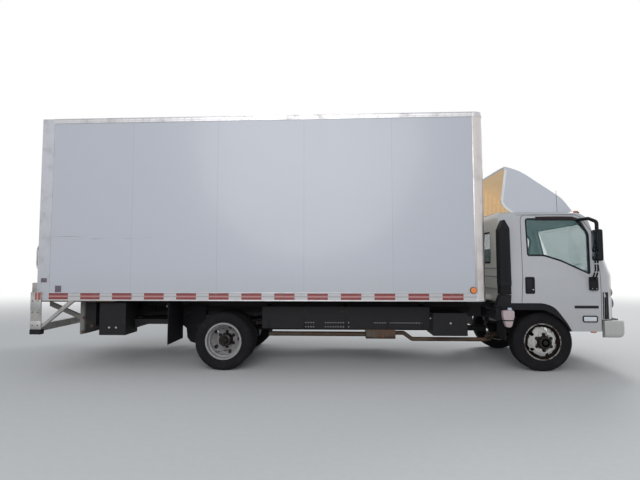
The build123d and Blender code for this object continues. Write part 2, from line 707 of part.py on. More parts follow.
def faceted_ring(rows):
    """A ring about the Y axis with flat facets all round, from its section's (radius, along) rows."""
    turn = 2 * pi / TYRE_FACETS
    rings = []
    for radius, along in rows:
        reach = radius / cos(turn / 2)
        rings.append([Vector(reach * cos(turn * (step + 0.5)), along, reach * sin(turn * (step + 0.5)))
                      for step in range(TYRE_FACETS)])
    facets = []
    for ring, next_ring in zip(rings, rings[1:] + rings[:1]):
        for step in range(TYRE_FACETS):
            corners = [ring[step - 1], ring[step], next_ring[step], next_ring[step - 1]]
            facets.append(make_face(Polyline(*corners, close=True)).face())
    return Solid(Shell(facets))


def make_tyre():
    """A tyre about the origin, its axle on Y, standing on a facet."""
    half = TYRE_WIDTH / 2
    seat = RIM_WIDTH / 2
    fit = 0.2
    half_section = [  # radius, along
        (BEAD_RADIUS + 12, seat - 40),
        (BEAD_RADIUS + fit, seat - fit),
        (FLANGE_RADIUS + 2, seat),
        (FLANGE_RADIUS + 60, half),
        (TYRE_RADIUS - 20, half - 4),
        (TYRE_RADIUS, half - 24),
    ]
    return faceted_ring(half_section + [(radius, -along) for radius, along in reversed(half_section)])


RIM = make_rim()
TYRE = make_tyre()


def make_front_wheels():
    """The single front wheels, disc outwards, with hub and nuts."""
    hub = rod_y(0, (40, DISC_OFFSET + 62), 0, HUB_RADIUS)
    hub += rod_y(0, (60, DISC_OFFSET - DISC_WALL), 0, DRUM_RADIUS)
    hub -= rod_y(0, (30, 130), 0, SPINDLE_RADIUS + SHAFT_CLEARANCE)
    wheel = RIM + hub + lugs(DISC_OFFSET - 1)
    place = Pos(FRONT_AXLE_X, FRONT_WHEEL_Y, AXLE_Z)
    write_pair("front_rim", mirror(place * wheel, about=Plane.XZ))
    write_pair("front_tyre", mirror(place * TYRE, about=Plane.XZ))


def make_rear_wheels():
    """The twin rear wheels of each side, discs together, with their hub."""
    outer_place = Pos(REAR_AXLE_X, REAR_WHEEL_Y + DUAL_SPACING / 2, AXLE_Z)
    inner_place = Pos(REAR_AXLE_X, REAR_WHEEL_Y - DUAL_SPACING / 2, AXLE_Z)
    hub_y = (REAR_WHEEL_Y - 155, REAR_WHEEL_Y + 160)
    hub = rod_y(REAR_AXLE_X, hub_y, AXLE_Z, HUB_RADIUS)
    hub += rod_y(REAR_AXLE_X, (REAR_WHEEL_Y - 90, REAR_WHEEL_Y - DISC_WALL), AXLE_Z, DRUM_RADIUS)
    hub -= rod_y(REAR_AXLE_X, (hub_y[0] - 10, hub_y[1] - 45), AXLE_Z, REAR_SPINDLE_RADIUS + SHAFT_CLEARANCE)
    nuts = Pos(REAR_AXLE_X, REAR_WHEEL_Y, AXLE_Z) * lugs(DISC_WALL - 1)
    rims = inner_place * RIM + outer_place * mirror(RIM, about=Plane.XZ) + hub + nuts
    tyres = inner_place * TYRE + outer_place * TYRE
    write_pair("rear_rims", mirror(rims, about=Plane.XZ))
    write_pair("rear_tyres", mirror(tyres, about=Plane.XZ))


def make_knuckles():
    """A fork about the axle's eye with its pin, a back plate and the wheel's spindle."""
    jaw_thick = 34
    low_jaw = (AXLE_Z - 70 - jaw_thick, AXLE_Z - 70)
    high_jaw = (AXLE_Z + 70, AXLE_Z + 70 + jaw_thick)
    web_y = (KINGPIN_Y + 44, KINGPIN_Y + 68)
    web_x = (FRONT_AXLE_X - 34, FRONT_AXLE_X + 34)
    knuckle = rod_z(FRONT_AXLE_X, KINGPIN_Y, (low_jaw[0], high_jaw[1]), KINGPIN_RADIUS)
    knuckle += block(web_x, web_y, (low_jaw[0], high_jaw[1]))
    for jaw in (low_jaw, high_jaw):
        knuckle += rod_z(FRONT_AXLE_X, KINGPIN_Y, jaw, 38)
        knuckle += block(web_x, (KINGPIN_Y, web_y[1]), jaw)
    knuckle += rod_y(FRONT_AXLE_X, (web_y[1], web_y[1] + 10), AXLE_Z, 175)
    knuckle += rod_y(FRONT_AXLE_X, (web_y[1], FRONT_WHEEL_Y + 120), AXLE_Z, SPINDLE_RADIUS)
    write_pair("knuckle", mirror(knuckle, about=Plane.XZ))


def make_bumper():
    """A bowed front bumper with rounded edges and an air slot, wrapped back to the doors."""
    bow = 48
    bow_y = 860
    wall = 66
    side_y = CAB_SIDE_Y + 4
    bar_x = (CAB_FRONT - 310, CAB_FRONT - 64)
    bar_z = (480, 716)
    apex = FRONT_END + CAB_BOW_RADIUS * (sqrt(1 + (bow / bow_y) ** 2) - 1)
    face = outline([  # x, y, corner radius
        (bar_x[0], side_y, 0),
        (bar_x[1], side_y, 74),
        (apex - bow, bow_y, 200),
        (apex, 0, CAB_BOW_RADIUS),
        (apex - bow, -bow_y, 200),
        (bar_x[1], -side_y, 74),
        (bar_x[0], -side_y, 0),
    ])
    bar = plan_prism(face, bar_z)
    low_edges = bar.edges().group_by(Axis.Z)[0].sort_by(Axis.X)[1:]
    bar = fillet(low_edges, wall - 6)
    high_edges = bar.edges().group_by(Axis.Z)[-1].sort_by(Axis.X)[1:]
    bar = fillet(high_edges, 24)
    bar -= plan_prism(drawn_in(face, wall), (bar_z[0] - 1, bar_z[1] + 1))
    bar -= block((bar_x[0] - 1, bar_x[0] + wall + 10), (-side_y + wall, side_y - wall),
                 (bar_z[0] - 1, bar_z[1] + 1))
    bar -= block((CAB_FRONT, FRONT_END + 1), (-330, 330), (556, 616))
    stay_y = (-RAIL_OUTER_Y + RAIL_WALL + 32, -RAIL_OUTER_Y + 62)
    stay = block((FRAME_FRONT - 60, FRONT_END - wall + 16), stay_y, (500, 640))
    stay += block((FRAME_FRONT - 60, FRAME_FRONT - 10), stay_y, (600, FRAME_BOTTOM))
    write("bumper", bar + both_sides(stay))


def make_exhaust():
    """The silencer with its tail pipe, its pipe to the engine and its hanger to the rail."""
    pipe_y = -700
    tail_z = 466
    low_z = 398
    silencer_x = (CAB_BACK - 1890, CAB_BACK - 1470)
    silencer = block(silencer_x, (pipe_y - 150, pipe_y + 140), (414, 584))
    exhaust = fillet(silencer.edges().filter_by(Axis.X), 50)
    exhaust += rod_x((REAR_AXLE_X + 600, silencer_x[0] + 2), pipe_y, tail_z, 34)
    exhaust += tube([(silencer_x[1] - 2, pipe_y, tail_z + 20), (CAB_BACK - 1335, pipe_y, tail_z + 20),
                     (CAB_BACK - 1215, pipe_y, low_z), (CAB_BACK - 155, pipe_y, low_z),
                     (CAB_BACK - 55, pipe_y + 100, low_z), (CAB_BACK - 55, -420, low_z),
                     (CAB_BACK + 265, -330, low_z + 50)], 30, 60)
    hanger_x = (silencer_x[0] + 120, silencer_x[0] + 180)
    exhaust += block(hanger_x, (pipe_y - 20, pipe_y + 20), (580, FRAME_BOTTOM + 30))
    exhaust += block(hanger_x, (pipe_y + 10, -RAIL_OUTER_Y), (FRAME_BOTTOM, FRAME_BOTTOM + 30))
    write("exhaust", exhaust)


def make_side_shield():
    """The long panel along the near side under the box, on three arms from the rail."""
    shield_x = (REAR_AXLE_X + 524, CAB_BACK - 988)
    shield_y = (-878, -870)
    shield_z = (565, 880)
    shield = block(shield_x, shield_y, shield_z)
    arm_places = [
        shield_x[0] + 60,
        (shield_x[0] + shield_x[1]) / 2,
        shield_x[1] - 60,
    ]
    for x in arm_places:
        shield += block((x - 20, x + 20), (shield_y[1], -RAIL_OUTER_Y), (shield_z[1] - 12, shield_z[1]))
    write("side_shield", shield)


def make_frame_boxes():
    """The battery box ahead and the lift's pump box behind, each on an arm from the rail."""
    battery = block((CAB_BACK - 955, CAB_BACK - 480), (-960, -500), (484, 800))
    battery += block((CAB_BACK - 900, CAB_BACK - 540), (-500, -RAIL_OUTER_Y), (720, 790))
    pump_x = (BOX_REAR + 862, BOX_REAR + 1242)
    pump = block(pump_x, (-1120, -760), (494, 950))
    pump += block((pump_x[0] + 95, pump_x[1] - 85), (-760, -RAIL_OUTER_Y), (800, 860))
    write("frame_boxes", battery + pump)


def make_fuel_tank():
    """The fuel tank on the left with its two straps of bracket to the rail."""
    tank_x = (CAB_BACK - 2135, CAB_BACK - 1135)
    tank = block(tank_x, (490, 1000), (470, 850))
    tank = fillet(tank.edges().filter_by(Axis.X), 90)
    for x in (tank_x[0] + 150, tank_x[1] - 150):
        tank += block((x - 30, x + 30), (RAIL_OUTER_Y, 520), (600, 840))
    write("fuel_tank", tank)


def make_mudflaps():
    """A hanging flap behind the rear wheels and one behind each front wheel, on their arms."""
    rows = [  # x, y low, y high, z low, z top
        (REAR_AXLE_X - 779, -1100, -520, 360, BOX_BOTTOM - 40),
        (FRONT_AXLE_X - 498, -925, -600, 420, 880),
    ]
    flaps = Part()
    for x, y_low, y_high, z_low, z_top in rows:
        flaps += block((x - 5, x + 5), (y_low, y_high), (z_low, z_top - 10))
        flaps += block((x - 22, x + 22), (y_low, -RAIL_OUTER_Y), (z_top - 20, z_top))
    write("mudflaps", both_sides(flaps))


def make_intake():
    """The duct below the intake's bellows, and the coolant bottle that hangs on it."""
    duct = side_prism(outline([  # x, z, corner radius
        (SNORKEL_X[0] + 4, NECK_BOTTOM - 8, 0),
        (SNORKEL_X[1] - 4, NECK_BOTTOM - 8, 0),
        (CAB_BACK + 76, 930, 60),
        (CAB_BACK - 36, 720, 0),
        (CAB_BACK - 126, 720, 0),
        (CAB_BACK - 126, 880, 60),
    ]), NECK_Y)
    duct += block((CAB_BACK - 121, CAB_BACK - 41), (NECK_Y[1] - 1, -RAIL_OUTER_Y), (725, 850))
    write("intake_duct", duct - plan_prism(cab_plan(-10), (ARCH_TOP - 50, NECK_BOTTOM)))
    bottle = block((CAB_BACK - 65, CAB_BACK + 95), (-1165, SNORKEL_Y[0] - 3), (632, 862))
    bottle = fillet(bottle.edges(), 24)
    bottle += block((CAB_BACK - 35, CAB_BACK - 5), (SNORKEL_Y[0] - 6, NECK_Y[0]), (770, 810))
    write("coolant_bottle", bottle)


def make_box():
    """The freight box: floor, walls, roof, rails, corner posts and rear frame."""
    side_rear = BOX_REAR + REAR_POST_DEPTH
    side_front = BOX_FRONT - FRONT_POST_DEPTH
    low_z = BOX_BOTTOM + BOTTOM_RAIL_HEIGHT
    high_z = BOX_TOP - TOP_RAIL_HEIGHT
    skin_y = BOX_SIDE_Y - SKIN_INSET
    inner_y = BOX_SIDE_Y - RAIL_THICK
    front_y = BOX_SIDE_Y - FRONT_POST_DEPTH
    front_wall_x = (BOX_FRONT - BOX_WALL - SKIN_INSET, BOX_FRONT - SKIN_INSET)
    side = block((side_rear, side_front), (-skin_y, -skin_y + BOX_WALL), (low_z, high_z))
    sill_top = DECK_TOP - 10
    write("box_walls", both_sides(side) + block(front_wall_x, (-front_y, front_y), (sill_top, high_z)))
    rails = Part()
    for z_range in ((BOX_BOTTOM, low_z), (high_z, BOX_TOP)):
        rails += block((side_rear, side_front), (-BOX_SIDE_Y, -inner_y), z_range)
    write("side_rails", both_sides(rails))
    post_plan = outline([  # x, y, corner radius
        (side_front, -BOX_SIDE_Y, 0),
        (BOX_FRONT, -BOX_SIDE_Y, 140),
        (BOX_FRONT, -front_y, 0),
        (BOX_FRONT - RAIL_THICK, -front_y, 0),
        (BOX_FRONT - RAIL_THICK, -inner_y, 100),
        (side_front, -inner_y, 0),
    ])
    write("corner_posts", both_sides(plan_prism(post_plan, (BOX_BOTTOM, BOX_TOP))))
    roof = block((side_rear, BOX_FRONT - RAIL_THICK), (-inner_y, inner_y), (BOX_TOP - 30, BOX_TOP - 6))
    post_room = outline([  # x, y, corner radius
        (side_front, -BOX_SIDE_Y, 0),
        (BOX_FRONT, -BOX_SIDE_Y, 0),
        (BOX_FRONT, -front_y, 0),
        (BOX_FRONT - RAIL_THICK, -front_y, 0),
        (BOX_FRONT - RAIL_THICK, -inner_y, 100),
        (side_front, -inner_y, 0),
    ])
    roof -= both_sides(plan_prism(post_room, (BOX_TOP - TOP_RAIL_HEIGHT, BOX_TOP)))
    roof += block((BOX_FRONT - RAIL_THICK, BOX_FRONT), (-front_y, front_y), (high_z, BOX_TOP))
    write("box_roof", roof)
    deck = block((side_rear, front_wall_x[0]), (-inner_y, inner_y), (DECK_TOP - DECK_THICK, DECK_TOP))
    deck -= both_sides(block((side_front - 1, BOX_FRONT), (-BOX_SIDE_Y, -front_y),
                             (DECK_TOP - DECK_THICK - 1, DECK_TOP + 1)))
    long_sill = block((side_rear, front_wall_x[0] - 20), (-RAIL_OUTER_Y, -RAIL_OUTER_Y + RAIL_FLANGE),
                      (FRAME_TOP, BOX_BOTTOM))
    floor = deck + both_sides(long_sill)
    first_x = side_rear + 100
    pitch = (BOX_FRONT - 100 - first_x) / (SILL_COUNT - 1)
    for index in range(SILL_COUNT):
        x = first_x + index * pitch
        floor += block((x - SILL_WIDTH / 2, x + SILL_WIDTH / 2), (-front_y + 40, front_y - 40),
                       (BOX_BOTTOM, DECK_TOP - DECK_THICK))
    write("box_floor", floor + block(front_wall_x, (-front_y, front_y), (BOX_BOTTOM, sill_top)))
    frame_x = (BOX_REAR, side_rear)
    post = block(frame_x, (-BOX_SIDE_Y, -BOX_SIDE_Y + REAR_POST_WIDTH), (BOX_BOTTOM, BOX_TOP))
    rear_frame = both_sides(post)
    for z_range in ((BOX_BOTTOM, DECK_TOP), (BOX_TOP - HEADER_HEIGHT, BOX_TOP)):
        rear_frame += block(frame_x, (-BOX_SIDE_Y, BOX_SIDE_Y), z_range)
    for step in (-1, 1):
        hole_y = PLATE_Y + step * PLATE_HOLE_SPACING / 2
        rear_frame -= rod_x((BOX_REAR - 1, BOX_REAR + 20), hole_y, PLATE_Z, PLATE_HOLE_RADIUS)
    write("rear_frame", rear_frame)
    door_y = BOX_SIDE_Y - REAR_POST_WIDTH
    door_x = (BOX_REAR + 40, BOX_REAR + 40 + DOOR_PANEL_THICK)
    door = block(door_x, (-door_y, door_y), (DECK_TOP, BOX_TOP - HEADER_HEIGHT))
    panel = (BOX_TOP - HEADER_HEIGHT - DECK_TOP) / DOOR_PANEL_COUNT
    for index in range(1, DOOR_PANEL_COUNT):
        z = DECK_TOP + index * panel
        door -= block((door_x[0] - 1, door_x[0] + 10), (-door_y - 1, door_y + 1), (z - 5, z + 5))
    write("roll_up_door", door)


def make_lamps():
    """The round side markers, the tail lamps and the row of three above the rear door."""
    marker_x = BOX_FRONT - 197
    marker_radius = 40
    proud = 12
    lamps = both_sides(rod_y(marker_x, (-BOX_SIDE_Y - proud, -BOX_SIDE_Y + SKIN_INSET), 1136, marker_radius))
    lamps -= both_sides(block((marker_x - marker_radius, marker_x + marker_radius),
                              (-BOX_SIDE_Y, -BOX_SIDE_Y + SKIN_INSET + 1),
                              (BOX_BOTTOM, BOX_BOTTOM + BOTTOM_RAIL_HEIGHT)))
    post_x = BOX_FRONT - FRONT_POST_DEPTH
    lamps -= both_sides(block((post_x, BOX_FRONT), (-BOX_SIDE_Y, -BOX_SIDE_Y + SKIN_INSET + 1),
                              (BOX_BOTTOM, BOX_TOP)))
    for y in (-180, 0, 180):
        lamps += block((BOX_REAR - proud - 2, BOX_REAR), (y - 50, y + 50), (BOX_TOP - 110, BOX_TOP - 80))
    lamps += both_sides(rod_x((BOX_REAR - 30, BOX_REAR), -BOX_SIDE_Y + 180, 1060, 55))
    write("box_lamps", lamps)


def make_lift():
    """The lift's side guards with braces and cross bar, and the folded platform between them."""
    guard_width = 154
    guard_z = (581, 1105)
    rubber_z = 517
    guard = side_prism(outline([  # x, z, corner radius
        (REAR_END, guard_z[1], 0),
        (REAR_END + guard_width, guard_z[1], 0),
        (REAR_END + guard_width + 12, guard_z[0], 0),
        (REAR_END + 8, guard_z[0], 0),
    ]), (-BOX_SIDE_Y - 9, -BOX_SIDE_Y))
    guard += block((REAR_END, REAR_END + 12), (-BOX_SIDE_Y, -BOX_SIDE_Y + 60), (700, guard_z[1]))
    guard += block((BOX_REAR - 70, BOX_REAR), (-BOX_SIDE_Y, -BOX_SIDE_Y + 90), (BOX_BOTTOM, 1235))
    guard += block((REAR_END + 10, REAR_END + guard_width + 10), (-BOX_SIDE_Y - 9, -BOX_SIDE_Y + 55),
                   (rubber_z, guard_z[0]))
    guard += side_prism(outline([  # x, z, corner radius
        (REAR_END + 112, 600, 0),
        (REAR_END + 548, BOX_BOTTOM, 0),
        (REAR_END + 634, BOX_BOTTOM, 0),
        (REAR_END + 164, 600, 0),
    ]), (-BOX_SIDE_Y, -BOX_SIDE_Y + 46))
    cross_bar = block((REAR_END + 76, REAR_END + 160), (-BOX_SIDE_Y, BOX_SIDE_Y), (560, 660))
    write("lift_guards", both_sides(guard) + cross_bar)
    bracket_x = (BOX_REAR + 482, BOX_REAR + 717)
    bracket = side_prism(outline([  # x, z, corner radius
        (bracket_x[0], 471, 20),
        (bracket_x[0], 950, 0),
        (bracket_x[1], 950, 0),
        (bracket_x[1], 595, 40),
        (bracket_x[1] - 77, 508, 40),
    ]), (-960, -640))
    arm = side_prism(outline([  # x, z, corner radius
        (BOX_REAR + 7, 885, 0),
        (BOX_REAR + 7, 950, 0),
        (BOX_REAR + 500, 746, 0),
        (BOX_REAR + 500, 683, 0),
    ]), (-950, -900))
    tie_x = (bracket_x[0] + 70, bracket_x[0] + 160)
    hanger = block(tie_x, (-RAIL_OUTER_Y - 12, -RAIL_OUTER_Y), (640, FRAME_TOP - 20))
    slab_x = (BOX_REAR + 1262, BOX_REAR + 1762)
    slab = side_prism(outline([  # x, z, corner radius
        (slab_x[0], 560, 0),
        (slab_x[0], FRAME_BOTTOM - 10, 0),
        (slab_x[1], FRAME_BOTTOM - 10, 0),
        (slab_x[1], 622, 0),
        (slab_x[0] + 105, 622, 0),
    ]), (-880, 880))
    link = block((bracket_x[1] - 10, slab_x[0] + 10), (-710, -650), (610, 680))
    tie = block(tie_x, (-880, 880), (620, FRAME_BOTTOM - 4))
    write("lift_platform", slab + tie + both_sides(bracket + arm + hanger + link))


make_doors()
make_mirrors()
make_cab_shell()
make_cab_floor()
make_wheel_arches()
make_seats()
make_dashboard()
make_deflector()
make_snorkel()
make_frame()
make_front_axle()
make_rear_axle()
make_engine()
make_front_wheels()
make_rear_wheels()
make_knuckles()
make_bumper()
make_exhaust()
make_side_shield()
make_frame_boxes()
make_fuel_tank()
make_mudflaps()
make_intake()
make_box()
make_lamps()
make_lift()
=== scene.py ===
"""The looks of a low-cab-forward box truck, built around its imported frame.

Lengths are in metres in the truck's own frame: +X forward, +Y to the truck's left, +Z up.
"""

from __future__ import annotations

import json
import logging
import math
from dataclasses import dataclass, field
from enum import Enum
from typing import Any, Callable, Sequence

import bpy
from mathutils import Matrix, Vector

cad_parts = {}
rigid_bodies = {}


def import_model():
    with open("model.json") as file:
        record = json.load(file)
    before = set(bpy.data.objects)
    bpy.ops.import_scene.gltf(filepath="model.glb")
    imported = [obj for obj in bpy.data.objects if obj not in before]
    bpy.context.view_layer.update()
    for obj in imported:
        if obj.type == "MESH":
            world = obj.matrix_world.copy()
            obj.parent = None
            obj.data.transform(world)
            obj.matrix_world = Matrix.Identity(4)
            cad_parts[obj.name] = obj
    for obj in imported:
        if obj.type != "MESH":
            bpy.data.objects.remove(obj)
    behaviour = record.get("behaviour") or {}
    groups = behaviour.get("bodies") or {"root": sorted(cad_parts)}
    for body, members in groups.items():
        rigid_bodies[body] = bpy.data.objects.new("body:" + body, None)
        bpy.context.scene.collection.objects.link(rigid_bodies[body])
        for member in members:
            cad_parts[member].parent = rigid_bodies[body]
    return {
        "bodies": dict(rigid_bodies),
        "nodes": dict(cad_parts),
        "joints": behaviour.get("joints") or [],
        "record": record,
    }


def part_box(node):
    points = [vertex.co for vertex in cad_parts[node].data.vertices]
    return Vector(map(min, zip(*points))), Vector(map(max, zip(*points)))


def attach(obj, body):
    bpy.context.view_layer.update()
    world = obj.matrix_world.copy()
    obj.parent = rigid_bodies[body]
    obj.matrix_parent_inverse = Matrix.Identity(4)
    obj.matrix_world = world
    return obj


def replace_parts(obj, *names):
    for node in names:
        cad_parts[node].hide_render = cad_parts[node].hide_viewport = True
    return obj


Point = Sequence[float]
Colour = tuple[float, float, float]
Outline = Sequence[tuple[float, float]]
Piece = bpy.types.Object
Keep = Callable[[Vector, Vector], bool]

LOG = logging.getLogger("box_truck")
RIGHT = -1.0
LEFT = 1.0
SIDES = (("right", RIGHT), ("left", LEFT))


class Turn(Enum):
    """The axis that a turned piece goes round."""

    ALONG = (1.0, 0.0, 0.0)
    ACROSS = (0.0, 1.0, 0.0)
    UP = (0.0, 0.0, 1.0)


class Face(Enum):
    """The plane that a flat outline is drawn in, as its two axes and its depth axis."""

    SIDE = (0, 2, 1)
    FRONT = (1, 2, 0)
    PLAN = (0, 1, 2)


class Bench:
    """Hand modelling, one new mesh at a time. A mesh gets its name where it is fitted."""

    @staticmethod
    def clear() -> None:
        """Leaves edit mode and deselects everything."""
        if bpy.context.object and bpy.context.object.mode != "OBJECT":
            bpy.ops.object.mode_set(mode="OBJECT")
        bpy.ops.object.select_all(action="DESELECT")

    @staticmethod
    def take(piece: Piece) -> None:
        """Makes one piece the selected and active one.

        Args:
            piece: The piece it works on.
        """
        Bench.clear()
        piece.select_set(True)
        bpy.context.view_layer.objects.active = piece

    @staticmethod
    def edit(piece: Piece) -> None:
        """Opens a piece in edit mode with all of it selected.

        Args:
            piece: The piece it works on.
        """
        Bench.take(piece)
        bpy.ops.object.mode_set(mode="EDIT")
        bpy.ops.mesh.select_mode(type="VERT")
        bpy.ops.mesh.select_all(action="SELECT")

    @staticmethod
    def close() -> None:
        """Leaves edit mode."""
        bpy.ops.object.mode_set(mode="OBJECT")

    @staticmethod
    def settle() -> Piece:
        """Puts the new primitive's place into its mesh."""
        bpy.ops.object.transform_apply(location=True, rotation=True, scale=True)
        return bpy.context.active_object

    @staticmethod
    def duplicate(piece: Piece) -> Piece:
        """A copy of a piece with its own mesh, selected and active.

        Args:
            piece: The piece it works on.

        Returns:
            The copy.
        """
        Bench.take(piece)
        bpy.ops.object.duplicate()
        return bpy.context.active_object

    @staticmethod
    def modify(piece: Piece, kind: str, **settings: Any) -> Piece:
        """Adds a modifier with its settings and applies it.

        Args:
            piece: The piece it works on.
            kind: The modifier's type.
            settings: The modifier's own settings.

        Returns:
            The same piece.
        """
        Bench.take(piece)
        change = piece.modifiers.new(kind.lower(), kind)
        for name, value in settings.items():
            setattr(change, name, value)
        bpy.ops.object.modifier_apply(modifier=change.name)
        return piece

    @staticmethod
    def outward() -> None:
        """Merges doubles and turns every face outwards, in edit mode."""
        bpy.ops.mesh.select_all(action="SELECT")
        bpy.ops.mesh.remove_doubles(threshold=1e-5)
        bpy.ops.mesh.normals_make_consistent(inside=False)

    @staticmethod
    def ease(bevel: float, sharpness: float) -> None:
        """Rounds the edges sharper than an angle in degrees, in edit mode.

        Args:
            bevel: How wide the rounding is.
            sharpness: The angle from which an edge counts as sharp.
        """
        bpy.ops.mesh.select_all(action="DESELECT")
        bpy.ops.mesh.select_mode(type="EDGE")
        bpy.ops.mesh.edges_select_sharp(sharpness=math.radians(sharpness))
        bpy.ops.mesh.bevel(offset=bevel, segments=2, affect="EDGES")

    @staticmethod
    def smooth(piece: Piece, degrees: float = 35.0) -> Piece:
        """Shades a piece smooth up to an angle.

        Args:
            piece: The piece it works on.
            degrees: The angle from which an edge stays sharp.

        Returns:
            The same piece.
        """
        Bench.take(piece)
        bpy.ops.object.shade_smooth_by_angle(angle=math.radians(degrees))
        return piece

    @staticmethod
    def block(one: Point, other: Point, bevel: float = 0.0, segments: int = 2) -> Piece:
        """A block between two opposite corners, with its edges rounded.

        Args:
            one: One corner.
            other: The corner across from it.
            bevel: The radius along its edges.
            segments: How many faces a rounded edge has.

        Returns:
            The finished block.
        """
        Bench.clear()
        middle = [(a + b) / 2 for a, b in zip(one, other)]
        bpy.ops.mesh.primitive_cube_add(size=1, location=middle)
        bpy.context.active_object.scale = [abs(b - a) for a, b in zip(one, other)]
        piece = Bench.settle()
        if bevel:
            Bench.edit(piece)
            bpy.ops.mesh.bevel(offset=bevel, segments=segments, affect="EDGES")
            Bench.close()
        return Bench.smooth(piece)

    @staticmethod
    def rod(start: Point, end: Point, radius: float, sides: int = 20, bevel: float = 0.0) -> Piece:
        """A round bar between two points, its rims rounded.

        Args:
            start: The middle of one end.
            end: The middle of the other end.
            radius: The bar's radius.
            sides: How many faces go round it.
            bevel: The radius along its rims.

        Returns:
            The finished bar.
        """
        Bench.clear()
        run = Vector(end) - Vector(start)
        middle = (Vector(start) + Vector(end)) / 2
        bpy.ops.mesh.primitive_cylinder_add(
            vertices=sides, radius=radius, depth=run.length, location=middle,
            rotation=run.to_track_quat("Z", "Y").to_euler())
        piece = Bench.settle()
        if bevel:
            Bench.edit(piece)
            Bench.ease(bevel, 60)
            Bench.close()
        return Bench.smooth(piece)

    @staticmethod
    def wire(points: Sequence[Point]) -> Piece:
        """A chain of edges drawn by extruding one vertex, left open in edit mode.

        Args:
            points: The chain's corners in order.

        Returns:
            The open chain.
        """
        Bench.clear()
        bpy.ops.mesh.primitive_plane_add(size=0.01, location=points[0])
        piece = Bench.settle()
        Bench.edit(piece)
        bpy.ops.mesh.merge(type="CENTER")
        for before, after in zip(points, points[1:]):
            step = Vector(after) - Vector(before)
            bpy.ops.mesh.extrude_vertices_move(TRANSFORM_OT_translate={"value": step})
        bpy.ops.mesh.select_all(action="SELECT")
        return piece

    @staticmethod
    def turned(profile: Outline, centre: Point, turn: Turn = Turn.ACROSS, steps: int = 48) -> Piece:
        """A profile spun about an axis.

        Args:
            profile: Rows of (radius, place along the axis).
            centre: The point that the profile is measured from.
            turn: The axis.
            steps: How many faces go round.

        Returns:
            The finished turned piece.
        """
        axis = Vector(turn.value)
        out = Vector((1, 0, 0)) if turn is Turn.UP else Vector((0, 0, 1))
        piece = Bench.wire([Vector(centre) + out * radius + axis * along for radius, along in profile])
        bpy.ops.mesh.spin(steps=steps, angle=math.tau, center=centre, axis=axis)
        Bench.outward()
        Bench.close()
        return Bench.smooth(piece)

    @staticmethod
    def plate(outline: Outline, depth: tuple[float, float], face: Face, bevel: float = 0.0) -> Piece:
        """A flat outline carried along its depth axis.

        Args:
            outline: Rows of (across, up) in the face's plane.
            depth: Where the plate starts and ends along the depth axis.
            face: The plane of the outline.
            bevel: The radius along its edges.

        Returns:
            The finished plate.
        """
        across, up, deep = face.value
        points = []
        for a, b in (*outline, outline[0]):
            point = [depth[0]] * 3
            point[across], point[up] = a, b
            points.append(point)
        piece = Bench.wire(points)
        bpy.ops.mesh.remove_doubles(threshold=1e-6)
        bpy.ops.mesh.edge_face_add()
        step = [0.0, 0.0, 0.0]
        step[deep] = depth[1] - depth[0]
        bpy.ops.mesh.extrude_region_move(TRANSFORM_OT_translate={"value": step})
        Bench.outward()
        if bevel:
            Bench.ease(bevel, 50)
        Bench.close()
        return Bench.smooth(piece)

    @staticmethod
    def tube(points: Sequence[Point], radius: float, sides: int = 3) -> Piece:
        """A round tube along a smooth curve through its points.

        Args:
            points: The tube's path.
            radius: The tube's radius.
            sides: The curve's bevel resolution.

        Returns:
            The tube as a mesh.
        """
        curve = bpy.data.curves.new("path", "CURVE")
        curve.dimensions = "3D"
        curve.bevel_depth = radius
        curve.bevel_resolution = sides
        curve.resolution_u = 6
        curve.use_fill_caps = True
        spline = curve.splines.new("NURBS")
        spline.points.add(len(points) - 1)
        for place, point in zip(spline.points, points):
            place.co = (*point, 1.0)
        spline.order_u = 3
        spline.use_endpoint_u = True
        piece = bpy.data.objects.new("tube", curve)
        bpy.context.scene.collection.objects.link(piece)
        Bench.take(piece)
        bpy.ops.object.convert(target="MESH")
        return Bench.smooth(bpy.context.active_object, 50)

    @staticmethod
    def faces(piece: Piece, keep: Keep) -> None:
        """Opens a piece in edit mode with some of its faces selected, by their middle and normal.

        Args:
            piece: The piece it works on.
            keep: Says of a face's middle and normal if the face is wanted.
        """
        Bench.take(piece)
        bpy.ops.object.mode_set(mode="EDIT")
        bpy.ops.mesh.select_mode(type="FACE")
        bpy.ops.mesh.select_all(action="DESELECT")
        bpy.ops.object.mode_set(mode="OBJECT")
        for polygon in piece.data.polygons:
            polygon.select = keep(polygon.center, polygon.normal)
        bpy.ops.object.mode_set(mode="EDIT")

    @staticmethod
    def row(piece: Piece, step: Point, count: int) -> Piece:
        """Repeats a piece along a straight row."""
        return Bench.modify(piece, "ARRAY", use_relative_offset=False, use_constant_offset=True,
                            constant_offset_displace=step, count=count)

    @staticmethod
    def around(piece: Piece, centre: Point, turn: Turn, count: int) -> Piece:
        """Repeats a piece evenly round an axis.

        Args:
            piece: The piece it works on.
            centre: A point on the axis.
            turn: The axis's direction.
            count: How many there are in all.

        Returns:
            The whole ring as one piece.
        """
        Bench.edit(piece)
        bpy.ops.mesh.spin(steps=count, angle=math.tau, dupli=True, center=centre, axis=Vector(turn.value))
        bpy.ops.mesh.select_all(action="SELECT")
        bpy.ops.mesh.remove_doubles(threshold=1e-6)
        Bench.close()
        return piece

    @staticmethod
    def join(pieces: Sequence[Piece]) -> Piece:
        """Joins pieces into one mesh.

        Args:
            pieces: The pieces, gone afterwards.

        Returns:
            The one piece.
        """
        Bench.clear()
        for piece in pieces:
            piece.select_set(True)
        bpy.context.view_layer.objects.active = pieces[0]
        if len(pieces) > 1:
            bpy.ops.object.join()
        return pieces[0]

